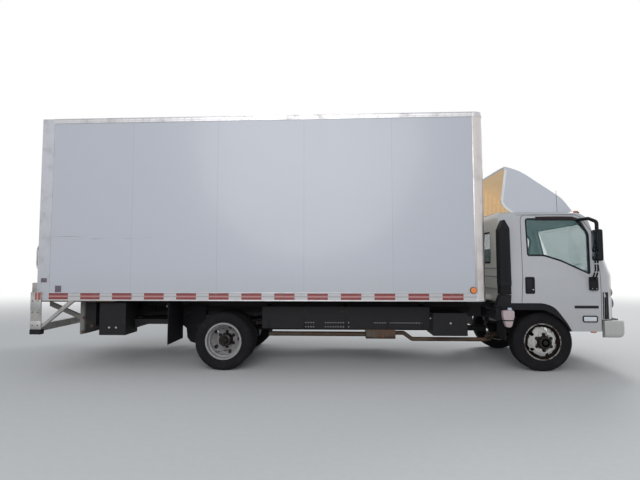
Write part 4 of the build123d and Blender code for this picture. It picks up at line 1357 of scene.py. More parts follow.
NODE_FINISHES = {
    "chassis_paint": ("frame_rails", "front_axle", "rear_axle", "side_shield", "fuel_tank", "box_floor",
                      "cab_floor", "knuckle_left", "knuckle_right"),
    "lift_paint": ("lift_platform",),
    # The cab's back gets painted light on its rearward faces.
    "back_paint_lit_rear": ("cab_back",),
    "engine_iron": ("engine_block",),
    "exhaust_steel": ("exhaust",),
    "box_black": ("frame_boxes",),
    "bumper_paint": ("bumper",),
    "black_rubber": ("mudflaps",),
    "black_moulding": ("intake_duct", "grille", "wheel_arches", "snorkel", "mirror_left", "mirror_right"),
    "bottle_plastic": ("coolant_bottle",),
    "box_panel": ("box_walls", "roll_up_door"),
    "roof_sheet": ("box_roof",),
    "bright_post": ("corner_posts",),
    "rail_metal": ("side_rails",),
    "rear_metal": ("rear_frame",),
    "plate_metal": ("lift_guards",),
    "amber_lens": ("box_lamps",),
    "cab_paint": ("cab_roof", "cab_front", "door_left", "door_right"),
    "deflector_paint": ("roof_deflector",),
    "window_glass": ("windshield", "rear_window", "door_glass_left", "door_glass_right"),
    "clear_lens": ("head_lamps",),
    "seat_cloth": ("seats",),
    "dash_plastic": ("dashboard",),
    "front_rim_paint": ("front_rim_left", "front_rim_right"),
    "rear_rim_paint": ("rear_rims_left", "rear_rims_right"),
    "tyre_rubber": ("front_tyre_left", "front_tyre_right", "rear_tyres_left", "rear_tyres_right"),
}


@dataclass
class Wheels(Assembly):
    """Tyres with their tread, hubs, nuts and valves, one wheel body at a time.

    Attributes:
        tread_steps: How many tread blocks go round a tyre.
        nut_circle: The radius of the circle that the nuts are on.
        nut_count: How many nuts hold a wheel.
        nut_radius: Half a nut's width over its corners.
        nut_height: How far a nut stands off the rim.
        stud_radius: The radius of a stud's end.
        tyre_width: The width of one tyre.
        tread_gap: Half the groove between two tread blocks.
        tread_depth: How far the blocks stand proud.
    """

    tread_steps: int = 84
    nut_circle: float = 0.1111
    nut_count: int = 6
    nut_radius: float = 0.0195
    nut_height: float = 0.021
    stud_radius: float = 0.0095
    tyre_width: float = 0.225
    tread_gap: float = 0.0035
    tread_depth: float = 0.009

    def build(self) -> None:
        """Dresses all wheels."""
        model = self.tyre()
        for name, side in SIDES:
            self.body = f"wheel_front_{name}"
            self.dress(model, f"front_tyre_{name}", f"front_rim_{name}", side)
            self.body = f"wheels_rear_{name}"
            self.dress(model, f"rear_tyres_{name}", f"rear_rims_{name}", side)
        bpy.data.objects.remove(model)

    def tyre(self) -> Piece:
        """One tyre about the origin, its blocks raised off the tread's ribs."""
        half = [
            (0.2475, 0.086), (0.261, 0.0975), (0.266, 0.1), (0.271, 0.1), (0.2735, 0.0985),
            (0.286, 0.104), (0.299, 0.108), (0.3, 0.1098), (0.303, 0.1098), (0.304, 0.1085),
            (0.33, 0.1112), (0.348, 0.1115), (0.362, 0.1108), (0.363, 0.1122), (0.367, 0.112),
            (0.368, 0.11), (0.38, 0.106), (0.39, 0.1), (0.395, 0.092), (0.3965, 0.062),
            (0.3925, 0.061), (0.3925, 0.055), (0.3968, 0.054), (0.397, 0.022), (0.3925, 0.021),
            (0.3925, 0.015), (0.397, 0.014),
        ]
        profile = [(r, -a) for r, a in half] + [(r, a) for r, a in reversed(half)]
        profile += [(0.259, 0.05), (0.259, -0.05), profile[0]]
        piece = Bench.turned(profile, (0, 0, 0), Turn.ACROSS, self.tread_steps)
        floor = 0.3935
        Bench.faces(piece, lambda middle, normal: math.hypot(middle.x, middle.z) > floor
                    and abs(normal.y) < 0.5 and math.hypot(normal.x, normal.z) > 0.8)
        bpy.ops.mesh.inset(thickness=self.tread_gap, use_individual=True)
        bpy.ops.transform.shrink_fatten(value=self.tread_depth)
        Bench.close()
        return Bench.smooth(piece, 32)

    def nuts(self, centre: Point, face: float, side: float) -> Piece:
        """Six wheel nuts with their stud ends, from a face outwards.

        Args:
            centre: A point on the axis.
            face: Where the face lies across the truck.
            side: RIGHT or LEFT.

        Returns:
            The nuts as one piece.
        """
        x, z = centre[0], centre[2] + self.nut_circle
        start, end = side * face, side * (face + self.nut_height)
        parts = [
            Bench.rod((x, start, z), (x, end, z), self.nut_radius, 6, 0.0025),
            Bench.rod((x, start, z), (x, start + side * 0.004, z), self.nut_radius + 0.004, 18),
            Bench.rod((x, end, z), (x, end + side * 0.012, z), self.stud_radius, 12, 0.002),
        ]
        return Bench.around(Bench.join(parts), centre, Turn.ACROSS, self.nut_count)

    def hub_cap(self, centre: Point, face: float, end: float, side: float) -> Piece:
        """A stepped iron hub with a ring of bolts round its end.

        Args:
            centre: A point on the axis.
            face: Where the face lies across the truck.
            end: Where the hub ends across the truck.
            side: RIGHT or LEFT.

        Returns:
            The hub and its bolts as one piece.
        """
        rows = [(0.001, end + 0.004), (0.03, end + 0.004), (0.034, end), (0.056, end), (0.0845, end - 0.004),
                (0.085, end - 0.012), (0.0838, end - 0.02), (0.0838, face + 0.014), (0.09, face + 0.01),
                (0.09, face)]
        hub = Bench.turned([(r, side * a) for r, a in rows], centre, steps=40)
        x, z = centre[0], centre[2] + 0.066
        bolt = Bench.rod((x, side * (end - 0.006), z), (x, side * (end + 0.01), z), 0.009, 6, 0.0015)
        return Bench.join([hub, Bench.around(bolt, centre, Turn.ACROSS, 8)])

    def dress(self, model: Piece, node: str, rim: str, side: float) -> None:
        """Puts tyres, hub, nuts and valve on one wheel or pair of wheels.

        Args:
            model: The tyre that is copied.
            node: The tyres' CAD node.
            rim: The rims' CAD node.
            side: Which side of the truck it is on.
        """
        low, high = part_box(node)
        x, z = (low[0] + high[0]) / 2, (low[2] + high[2]) / 2
        inner, outer = sorted((abs(low[1]), abs(high[1])))
        twin = outer - inner > 1.5 * self.tyre_width
        axle_y = outer - self.tyre_width / 2
        tyres = []
        places = sorted((inner + self.tyre_width / 2, axle_y))
        for place in places if twin else places[1:]:
            Bench.duplicate(model)
            bpy.ops.transform.translate(value=(x, side * place, z))
            tyres.append(Bench.settle())
        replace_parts(self.fit(f"{node}_tread", tyres, "tyre", "tyre_rubber"), node)
        centre = (x, 0.0, z)
        face, hub_end, stem = (-0.116, 0.033, 0.03) if twin else (0.1265, 0.189, -0.03)
        face += axle_y
        self.fit(f"{rim}_nuts", self.nuts(centre, face + 0.006, side), "rim_white", "nut_iron")
        self.fit(f"{rim}_hub", self.hub_cap(centre, face, axle_y + hub_end, side), "rim_white", "hub_iron")
        x, y, z = x + 0.19 * 0.6, side * (face + stem), z + 0.19 * 0.8
        route = [(x, y, z), (x, y + side * 0.02, z), (x - 0.008, y + side * 0.045, z - 0.01)]
        valve = Bench.tube(route, 0.005)
        self.fit(f"{rim}_valve", valve, "rim_white", "black_rubber")


@dataclass
class FreightBox(Assembly):
    """The freight box's tape, rail lips, rivets, caps, lamps and rear door hardware.

    Attributes:
        tape_start: Where the rearmost red tape begins.
        tape_red: The length of a red piece.
        tape_white: The length of a white piece.
        tape_count: How many red pieces lie on a side.
        tape_low: The tape's lower edge.
        tape_high: The tape's upper edge.
        rivet_pitch: How far apart the rail's rivets are.
        skin: How thick tape is.
    """

    tape_start: float = -3.932
    tape_red: float = 0.2794
    tape_white: float = 0.1778
    tape_count: int = 13
    tape_low: float = 1.003
    tape_high: float = 1.09
    rivet_pitch: float = 0.1016
    skin: float = 0.0012

    def build(self) -> None:
        """Dresses the box from the rails up and then its rear."""
        low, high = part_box("rear_frame")
        self.rear, self.half, self.floor, self.top = low[0], high[1], low[2], high[2]
        rails_low, rails_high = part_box("side_rails")
        self.rail_rear, self.rail_front = rails_low[0], rails_high[0]
        self.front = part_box("corner_posts")[1][0]
        self.tape()
        self.rail_lips()
        self.rivets()
        self.roof()
        self.post_caps()
        self.marks()
        self.lamps()
        self.rear_door()
        self.rear_tape()
        self.rear_sill()
        self.front_wall()

    def tape(self) -> None:
        """Red and white reflective tape along both bottom rails."""
        pitch = self.tape_red + self.tape_white
        for name, start, length in (("red_tape", self.tape_start, self.tape_red),
                                    ("white_tape", self.tape_start + self.tape_red, self.tape_white)):
            strip = Bench.block((start, -self.half - self.skin, self.tape_low),
                                (start + length, -self.half, self.tape_high), 0.0004, 1)
            self.both(name, Bench.row(strip, (pitch, 0, 0), self.tape_count), "bright_aluminium", name)

    def rail_lips(self) -> None:
        """The pressed lips along the bottom and top rails and a black strip of painted shade in the lower
        rail's groove.
        """
        rows = [  # low, high, proud
            (self.floor, self.floor + 0.007, 0.004),
            (self.floor + 0.107, self.floor + 0.115, 0.003),
            (self.top - 0.068, self.top - 0.061, 0.003),
            (self.top - 0.044, self.top - 0.039, 0.002),
            (self.top - 0.01, self.top + 0.002, 0.005),
        ]
        lips = [Bench.block((self.rail_rear, -self.half - proud, low),
                            (self.rail_front, -self.half + 0.004, high), 0.0015, 2)
                for low, high, proud in rows]
        self.both("rail_lips", Bench.join(lips), "bright_aluminium", "rail_metal")
        # A black strip of painted shade in the lower rail's groove.
        shadow = Bench.block((self.rail_rear, -self.half - 0.0008, self.floor + 0.1035),
                             (self.rail_front, -self.half, self.floor + 0.1065))
        self.both("rail_groove_painted_shade", shadow, "bright_aluminium", "black_and_painted_shade")
        angle = Bench.block((self.rear + 0.06, -self.half + 0.004, self.floor - 0.016),
                            (self.rear + 1.12, -self.half + 0.05, self.floor), 0.002, 2)
        self.both("rear_angle", angle, "rear_steel", "rusty_steel")

    def rivets(self) -> None:
        """Rows of rivets along the rails and up the posts."""
        span = self.rail_front - self.rail_rear
        count = int(span / self.rivet_pitch)
        start = self.rail_rear + (span - (count - 1) * self.rivet_pitch) / 2
        rows = [(start, z, (self.rivet_pitch, 0, 0), count)
                for z in (self.top - 0.026, self.top - 0.052, self.floor + 0.111)]
        up_count = int((self.top - self.floor) / self.rivet_pitch)
        rows += [(x, self.floor + 0.05, (0, 0, self.rivet_pitch), up_count)
                 for x in (self.rail_rear - 0.012, self.rail_rear - 0.148, self.rail_front + 0.014)]
        radius = 0.0062
        head = [(0.0004, 0.0034), (radius * 0.55, 0.0028), (radius * 0.95, 0.0012), (radius, 0.0)]
        heads = [Bench.row(Bench.turned(head, (x, -self.half, z), Turn.ACROSS, 10), step, times)
                 for x, z, step, times in rows]
        piece = Bench.join(heads)
        Bench.edit(piece)
        bpy.ops.transform.resize(value=(1, -1, 1), center_override=(0, -self.half, 0))
        bpy.ops.mesh.normals_make_consistent(inside=False)
        Bench.close()
        self.both("side_rivets", piece, "bright_aluminium", "fastener")

    def roof(self) -> None:
        """Pressed seams across the roof sheet and the flashing round it."""
        half = self.half - 0.045
        count = 11
        step = (self.rail_front - self.rail_rear) / count
        seam = Bench.block((self.rail_rear + step / 2, -half, self.top - 0.0075),
                           (self.rail_rear + step / 2 + 0.03, half, self.top - 0.0035), 0.0015, 2)
        flash = [Bench.block((self.rail_rear, side * half - 0.02, self.top - 0.008),
                             (self.rail_front, side * half + 0.02, self.top - 0.002), 0.001, 1)
                 for side in (RIGHT, LEFT)]
        seams = [Bench.row(seam, (step, 0, 0), count), *flash]
        self.fit("roof_seams", seams, "aluminium_sheet", "roof_sheet")

    def post_caps(self) -> None:
        """Cast caps on the front corners' tops and the seam strips beside the polished posts."""
        low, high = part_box("corner_posts")
        corner, proud = 0.14, 0.003
        arc = []
        for step in range(9):
            angle = math.radians(90.0 * step / 8)
            arc.append((high[0] - corner + math.sin(angle) * (corner + proud),
                        -self.half + corner - math.cos(angle) * (corner + proud)))
        outline = [(low[0] + 0.002, -self.half - proud), *arc, (high[0] + proud, -self.half + 0.156),
                   (low[0] + 0.002, -self.half + 0.156)]
        cap = Bench.plate(outline, (self.top - 0.066, self.top + 0.004), Face.PLAN, 0.004)
        foot = Bench.plate(outline, (self.floor - 0.003, self.floor + 0.034), Face.PLAN, 0.003)
        self.both("post_caps", Bench.join([cap, foot]), "bright_aluminium", "rail_metal")
        strip = Bench.block((low[0] - 0.012, -self.half - 0.0022, self.floor + 0.115),
                            (low[0] + 0.016, -self.half + 0.002, self.top - 0.066), 0.001, 2)
        self.both("post_strips", strip, "bright_aluminium", "bright_post")

    def marks(self) -> None:
        """The blank dark label on the rear post and the dark square on the panel."""
        rows = [  # name, x, x, z, z
            ("post_label", -4.054, -3.969, 1.241, 1.301),
            ("panel_square", -3.845, -3.758, 1.104, 1.195),
        ]
        for name, x_low, x_high, z_low, z_high in rows:
            plate = Bench.block((x_low, -self.half - 0.0022, z_low), (x_high, -self.half + 0.0035, z_high),
                                0.0012, 2)
            self.fit(name, plate, "rear_steel", "label_grey")

    def lamps(self) -> None:
        """Lenses and rims over the box's lamps."""
        centre = (self.front - 0.197, 0, 1.136)
        lens = [(0.0005, 0.015), (0.018, 0.0146), (0.03, 0.0135), (0.0375, 0.0122), (0.0385, 0.01)]
        rim = [(0.0385, 0.01), (0.0395, 0.013), (0.043, 0.0125), (0.045, 0.009), (0.046, 0.0)]
        for name, side in SIDES:
            made = Bench.turned([(r, side * (self.half + a)) for r, a in lens], centre, steps=32)
            self.fit(f"side_marker_{name}", made, "lamp_amber", "amber_lens")
            made = Bench.turned([(r, side * (self.half + a)) for r, a in rim], centre, steps=32)
            self.fit(f"marker_rim_{name}", made, "bright_aluminium", "black_rubber")
        header = Bench.block((self.rear - 0.0195, -0.235, self.top - 0.115),
                             (self.rear + 0.001, -0.125, self.top - 0.075), 0.006, 3)
        self.fit("header_lamp_rears", Bench.row(header, (0, 0.18, 0), 3), "lamp_amber", "red_lens")
        lens = [(0.0005, -0.012), (0.03, -0.0105), (0.048, -0.006), (0.0535, 0.0)]
        rim = [(0.0535, 0.0), (0.055, -0.006), (0.062, -0.006), (0.066, 0.0)]
        places = [(self.rear, side * (self.half - 0.18), 1.06) for side in (RIGHT, LEFT)]
        lenses = [Bench.turned(lens, place, Turn.ALONG, 36) for place in places]
        self.fit("tail_lenses", lenses, "lamp_amber", "red_lens")
        rims = [Bench.turned(rim, place, Turn.ALONG, 36) for place in places]
        self.fit("tail_rims", rims, "black_rubber", "black_rubber")

    def rear_door(self) -> None:
        """The roll-up door's latch, grips, seals and screw heads."""
        low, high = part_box("roll_up_door")
        x, foot = low[0], low[2]
        latch = [
            Bench.block((x - 0.006, -0.13, foot + 0.045), (x + 0.001, 0.13, foot + 0.165), 0.004, 2),
            Bench.block((x - 0.026, -0.045, foot + 0.006), (x - 0.004, 0.045, foot + 0.075), 0.006, 3),
            Bench.rod((x - 0.022, -0.035, foot + 0.115), (x - 0.022, 0.105, foot + 0.135), 0.01, 14, 0.003),
            Bench.rod((x - 0.03, -0.035, foot + 0.115), (x - 0.004, -0.035, foot + 0.115), 0.02, 20, 0.003),
        ]
        self.fit("door_latch", latch, "rear_steel", "fastener")
        bow = [(0.0, -0.085), (-0.035, -0.08), (-0.035, 0.0), (-0.035, 0.08), (0.0, 0.085)]
        grips = [Bench.tube([(x + dx, y + dy, foot + 0.17) for dx, dy in bow], 0.008) for y in (-0.52, 0.52)]
        self.fit("door_grips", grips, "rear_steel", "fastener")
        seals = [
            Bench.block((x - 0.01, low[1] + 0.004, foot - 0.001), (x + 0.02, high[1] - 0.004, foot + 0.02),
                        0.006, 3),
            Bench.block((x - 0.016, low[1], high[2] - 0.035),
                        (x - 0.004, high[1], high[2] + 0.002), 0.004, 2),
        ]
        seals += [Bench.block((x - 0.014, side * high[1], foot),
                              (x - 0.002, side * (high[1] - 0.028), high[2]), 0.004, 2)
                  for side in (RIGHT, LEFT)]
        self.fit("door_seals", seals, "black_rubber", "black_rubber")
        panels = 7
        panel = (high[2] - foot) / panels
        heads = []
        for y in (-0.9, -0.3, 0.3, 0.9):
            for shift in (0.0, 0.03):
                head = Bench.turned([(0.0004, -0.0034), (0.004, -0.003), (0.0068, 0.0)],
                                    (x, y + shift, foot + 0.05), Turn.ALONG, 10)
                heads.append(Bench.row(head, (0, 0, panel), panels))
        self.fit("door_heads", heads, "rear_steel", "fastener")

    def rear_tape(self) -> None:
        """The tape along the rear sill and round the top corners."""
        x = self.rear
        length, count = 0.1524, 6
        for first, kind in enumerate(("red", "white")):
            strips = []
            for index in range(first, count, 2):
                y = (index - count / 2) * length
                strips.append(Bench.block((x - self.skin, y, self.floor + 0.012),
                                          (x, y + length, self.floor + 0.06), 0.0004, 1))
            self.fit(f"rear_{kind}_tape", strips, "bright_aluminium", f"{kind}_tape")
        corners = []
        for side in (RIGHT, LEFT):
            for inset, low, high in ((0.3, 0.055, 0.01), (0.065, 0.32, 0.055)):
                corners.append(Bench.block((x - self.skin, side * (self.half - 0.02), self.top - low),
                                           (x, side * (self.half - inset), self.top - high), 0.0004, 1))
        self.fit("rear_corner_tape", corners, "bright_aluminium", "white_tape")

    def rear_sill(self) -> None:
        """The grab rail and the plate lamp of the rear frame."""
        x, y = self.rear, -self.half + 0.048
        rail = Bench.tube([(x, y, 1.42), (x - 0.05, y, 1.43), (x - 0.05, y, 1.6), (x - 0.05, y, 1.76),
                           (x, y, 1.77)], 0.011)
        self.fit("grab_rail", rail, "rear_steel", "fastener")
        lamp = Bench.block((x - 0.03, 0.575, 1.102), (x - 0.001, 0.665, 1.126), 0.006, 3)
        self.fit("plate_lamp", lamp, "black_plastic", "black_moulding")

    def front_wall(self) -> None:
        """Vertical seams of the wall behind the cab."""
        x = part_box("box_walls")[1][0]
        seam = Bench.block((x - 0.001, -0.625, 1.16), (x + 0.0025, -0.595, self.top - 0.07), 0.001, 1)
        self.fit("front_seams", Bench.row(seam, (0, 0.61, 0), 3), "bright_aluminium", "rail_metal")


@dataclass
class Lift(Assembly):
    """The lift's plate seams, strips, pins, rams and tread plate."""

    def build(self) -> None:
        """Dresses the guards and the folded platform."""
        self.guards()
        self.platform()

    def guards(self) -> None:
        """The guards' lapped plates with black discs of painted shade in their holes, worn strips and rubber
        feet.
        """
        low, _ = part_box("lift_guards")
        x, y = low[0], low[1]
        depth = (y - 0.0035, y + 0.002)
        outlines = [
            [(0.001, 0.7), (0.157, 0.7), (0.166, 0.584), (0.009, 0.584)],
            [(0.0005, 1.103), (0.153, 1.103), (0.158, 0.856), (0.0025, 0.856)],
        ]
        laps = [Bench.plate([(x + along, z) for along, z in outline], depth, Face.SIDE, 0.001)
                for outline in outlines]
        self.both("guard_laps", Bench.join(laps), "rear_steel", "guard_metal")
        # Black discs of painted shade inside the guards' holes.
        hole = [(0.0003, y - 0.0043), (0.0075, y - 0.0043), (0.0085, y - 0.0035)]
        holes = [Bench.turned(hole, (x + along, 0, z), steps=14) for along, z in (
            (0.03, 0.98), (0.112, 0.98), (0.032, 0.822), (0.114, 0.822), (0.04, 0.64), (0.118, 0.64))]
        self.both("guard_hole_painted_shade", Bench.join(holes), "rear_steel", "black_and_painted_shade")
        strips = [Bench.block((x + start, y - 0.0048, 0.996), (x + end, y - 0.0034, 1.099), 0.0004, 1)
                  for start, end in ((0.066, 0.093), (0.105, 0.15))]
        self.fit("guard_strips", strips, "rear_steel", "worn_red")
        foot = Bench.block((x + 0.006, y - 0.012, 0.514), (x + 0.17, y + 0.066, 0.584), 0.008, 3)
        self.both("guard_feet", foot, "black_rubber", "black_rubber")

    def platform(self) -> None:
        """Rams, hinge pins and the folded deck's ribs."""
        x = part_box("rear_frame")[0][0]
        rams = []
        for side in (RIGHT, LEFT):
            y = side * 0.8
            rams.append(Bench.rod((x + 0.56, y, 0.6), (x + 0.98, y, 0.62), 0.034, 20, 0.006))
            rams.append(Bench.rod((x + 0.95, y, 0.619), (x + 1.3, y, 0.635), 0.017, 14))
        self.fit("lift_rams", rams, "chassis_black", "box_black")
        pins = [Bench.rod((x + along, -0.972, z), (x + along, -0.95, z), 0.024, 18, 0.004)
                for along, z in ((0.545, 0.72), (0.66, 0.6), (0.53, 0.515))]
        self.both("lift_pins", Bench.join(pins), "chassis_black", "rusty_steel")
        rib = Bench.block((x + 1.385, -0.86, 0.6155), (x + 1.397, 0.86, 0.6225), 0.0015, 1)
        self.fit("deck_ribs", Bench.row(rib, (0.036, 0, 0), 10), "chassis_black", "box_black")


@dataclass
class Cab(Assembly):
    """Window seals, handles, lamps, wipers and trim of the tilting cab and its doors.

    Attributes:
        side: How far out the cab's flat side is.
        flat: How level a face is before it counts as facing along an axis.
    """

    body: str = "cab"
    side: float = 1.032
    flat: float = 0.35

    def build(self) -> None:
        """Dresses the cab from its windows outwards."""
        self.windows()
        for name, side in SIDES:
            self.body = f"door_{name}"
            self.seals(name, side)
            self.visor(name, side)
            self.handle(name, side)
            self.marks(name, side)
            self.lining(name, side)
            self.mirror(name, side)
        self.body = "cab"
        self.front()
        self.bumper()
        self.lamps()
        self.wipers()
        self.roof()
        self.deflector()
        self.side_grooves()
        self.back()

    def skirt_y(self, z: float) -> float:
        """How far out the cab's side is at a height below the windows."""
        return self.side - max(0.0, 1.05 - z) * 0.0293

    def pillar_y(self, z: float) -> float:
        """How far out the cab's side is at a height of the windows."""
        return self.side - (z - 1.3) * 0.1754

    def windows(self) -> None:
        """Rubber seals round the windshield and the rear window."""
        front = Bench.border(self.node("windshield"), lambda middle, normal: normal.x > self.flat,
                             0.026, 0.007, 0.002)
        self.fit("windshield_seal", front, "black_rubber", "black_rubber")
        rear = Bench.border(self.node("rear_window"), lambda middle, normal: normal.x < -self.flat,
                            0.024, 0.009, 0.002)
        self.fit("rear_window_seal", rear, "black_rubber", "black_rubber")

    def seals(self, name: str, side: float) -> None:
        """The outer and inner seals of one door's glass.

        Args:
            name: The side's name.
            side: RIGHT or LEFT.
        """
        glass = self.node(f"door_glass_{name}")
        seal = Bench.border(glass, lambda middle, normal: normal.y * side > self.flat, 0.019, 0.012, 0.0025)
        self.fit(f"window_seal_{name}", seal, "black_rubber", "black_rubber")
        sweep = Bench.border(glass, lambda middle, normal: normal.y * side < -self.flat, 0.03, 0.008)
        self.fit(f"window_channel_{name}", sweep, "black_rubber", "black_rubber")

    def visor(self, name: str, side: float) -> None:
        """The smoky rain visor over the front of the door window.

        Args:
            name: The side's name.
            side: RIGHT or LEFT.
        """
        line = [(2.96, 2.166), (3.12, 2.169), (3.3, 2.169), (3.47, 2.166), (3.545, 2.142), (3.6, 2.08),
                (3.64, 1.99)]
        top = [(x, side * (self.pillar_y(z) + 0.0015), z) for x, z in line]
        drop = [(0.004, -0.046), (0.0, -0.05), (0.0, -0.051), (-0.004, -0.05), (-0.022, -0.04),
                (-0.034, -0.026), (-0.034, -0.01)]
        low = [(x + dx, side * (self.pillar_y(z + dz) + 0.02), z + dz)
               for (x, z), (dx, dz) in zip(line, drop)]
        self.fit(f"rain_visor_{name}", Bench.strip(top, low, 0.003, 0.0008), "black_plastic", "smoky_plastic")

    def rounded(self, low: Point, high: Point, radius: float, steps: int = 4) -> Outline:
        """A rectangle's outline with its corners rounded, as (across, up) rows.

        Args:
            low: The lowest corner.
            high: The highest corner.
            radius: The corners' radius.
            steps: How many steps a corner takes.

        Returns:
            The outline's points.
        """
        rows = []
        corners = [(high[0] - radius, high[1] - radius, 0), (low[0] + radius, high[1] - radius, 90),
                   (low[0] + radius, low[1] + radius, 180), (high[0] - radius, low[1] + radius, 270)]
        for x, z, start in corners:
            for step in range(steps + 1):
                turn = math.radians(start + 90 * step / steps)
                rows.append((x + radius * math.cos(turn), z + radius * math.sin(turn)))
        return rows

    def ring(self, low: Point, high: Point, radius: float, width: float, depth: tuple[float, float]) -> Piece:
        """A rounded rectangular ring on the cab's side, with its middle sunk.

        Args:
            low: Its lowest corner in the side's plane.
            high: Its highest corner in the side's plane.
            radius: The radius of its corners.
            width: How wide the ring is.
            depth: How far out its back and its face are.

        Returns:
            The finished ring.
        """
        plate = Bench.plate(self.rounded(low, high, radius), depth, Face.SIDE)
        back, outer = depth
        Bench.faces(plate, lambda middle, normal: abs(middle.y - outer) < 1e-4)
        bpy.ops.mesh.inset(thickness=width * 0.35)
        bpy.ops.mesh.inset(thickness=width * 0.65, depth=-0.0005)
        sunk = (0.0, (back - outer) * 0.45, 0.0)
        bpy.ops.mesh.extrude_region_move(TRANSFORM_OT_translate={"value": sunk})
        Bench.close()
        return Bench.smooth(plate)

    def handle(self, name: str, side: float) -> None:
        """The door handle's black cup with its paler pull and a key lock.

        Args:
            name: The side's name.
            side: RIGHT or LEFT.
        """
        y = side * self.side
        cup = self.ring((2.732, 1.078), (2.86, 1.311), 0.02, 0.016, (y - side * 0.004, y + side * 0.006))
        self.fit(f"handle_cup_{name}", cup, "black_plastic", "black_moulding")
        pull = Bench.plate(self.rounded((2.752, 1.105), (2.822, 1.284), 0.014), (y, y + side * 0.0085),
                           Face.SIDE, 0.0022)
        self.fit(f"handle_pull_{name}", pull, "black_plastic", "handle_grey")
        rows = [(0.0005, 0.006), (0.007, 0.0062), (0.009, 0.005), (0.01, 0.0)]
        lock = Bench.turned([(r, side * a) for r, a in rows], (2.838, y, 1.135), steps=20)
        self.fit(f"door_lock_{name}", lock, "bright_aluminium", "fastener")

    def marks(self, name: str, side: float) -> None:
        """The blank dark strip and the side lamp low on the door's front.

        Args:
            name: The side's name.
            side: RIGHT or LEFT.
        """
        y = side * self.skirt_y(0.9)
        strip = Bench.plate(self.rounded((3.388, 0.88), (3.708, 0.918), 0.005, 2),
                            (y - side * 0.003, y + side * 0.0035), Face.SIDE, 0.001)
        self.fit(f"door_strip_{name}", strip, "black_plastic", "black_and_painted_shade")
        y = side * self.skirt_y(0.725)
        rim = self.ring((3.492, 0.69), (3.693, 0.782), 0.024, 0.015, (y - side * 0.004, y + side * 0.008))
        self.fit(f"side_lamp_rim_{name}", rim, "black_plastic", "black_moulding")
        lens = Bench.plate(self.rounded((3.507, 0.705), (3.678, 0.767), 0.014), (y, y + side * 0.0085),
                           Face.SIDE, 0.003)
        self.fit(f"side_lamp_{name}", lens, "lamp_clear", "side_lens")

    def lining(self, name: str, side: float) -> None:
        """The door's inner trim board and armrest.

        Args:
            name: The side's name.
            side: RIGHT or LEFT.
        """
        y = side * (self.side - 0.0465)
        outline = [(2.8, 1.06), (2.8, 1.52), (3.02, 1.52), (3.25, 1.44), (3.56, 1.27), (3.58, 1.1),
                   (3.3, 1.06)]
        board = Bench.plate(outline, (y - side * 0.012, y + side * 0.002), Face.SIDE, 0.005)
        rest = Bench.block((2.93, y - side * 0.05, 1.335), (3.28, y - side * 0.01, 1.385), 0.014, 3)
        self.fit(f"door_board_{name}", [board, rest], "dash_grey", "trim_plastic")

    def mirror(self, name: str, side: float) -> None:
        """The mirror's two glasses, its brackets' clamps and the base's screws.

        Args:
            name: The side's name.
            side: RIGHT or LEFT.
        """
        glasses = []
        for low_z, high_z in ((1.665, 1.93), (1.546, 1.65)):
            inner, outer = sorted((side * 1.168, side * 1.312))
            outline = self.rounded((inner, low_z), (outer, high_z), 0.018)
            glasses.append(Bench.plate(outline, (3.5632, 3.5665), Face.FRONT, 0.001))
        # Dark mirror glass, a painted reflection.
        self.fit(f"mirror_glass_{name}", glasses, "window_glass", "mirror_painted_dark")
        clamp = [(0.012, -0.006), (0.0165, -0.005), (0.0165, 0.005), (0.012, 0.006), (0.012, -0.006)]
        clamps = [Bench.turned(clamp, (x, side * 1.205, z), Turn.UP, 16)
                  for z in (1.49, 1.38) for x in (3.584, 3.618)]
        self.fit(f"mirror_clamps_{name}", clamps, "bright_aluminium", "fastener")
        screw = [(0.0004, 1.0745), (0.005, 1.074), (0.0065, 1.0715), (0.0065, 1.068)]
        screws = [Bench.turned([(r, side * a) for r, a in screw], (x, 0, z), steps=12)
                  for x in (3.612, 3.67) for z in (1.15, 1.285)]
        self.fit(f"mirror_screws_{name}", screws, "black_plastic", "fastener")

    def front(self) -> None:
        """Backing and fins behind the grille's slots and the seam across the front."""
        x = Bench.ahead(self.node("grille"), 0.0, 0.95).x
        backs = [Bench.block((x - 0.05, -0.521, z - 0.001), (x - 0.02, 0.521, z + 0.031))
                 for z in (0.905, 0.955, 1.005)]
        fin = Bench.block((x - 0.03, -0.505, 0.905), (x - 0.012, -0.5, 1.035))
        fins = Bench.row(fin, (0, 0.0336, 0), 31)
        self.fit("grille_mesh", [*backs, fins], "black_plastic", "black_and_painted_shade")
        shell = self.node("cab_front")
        seam = [Bench.ahead(shell, y, 1.215) + Vector((0.0005, 0, 0))
                for y in (-0.93, -0.8, -0.6, -0.3, 0.0, 0.3, 0.6, 0.8, 0.93)]
        self.fit("front_seam", Bench.tube(seam, 0.0028, 1), "black_rubber", "black_and_painted_shade")

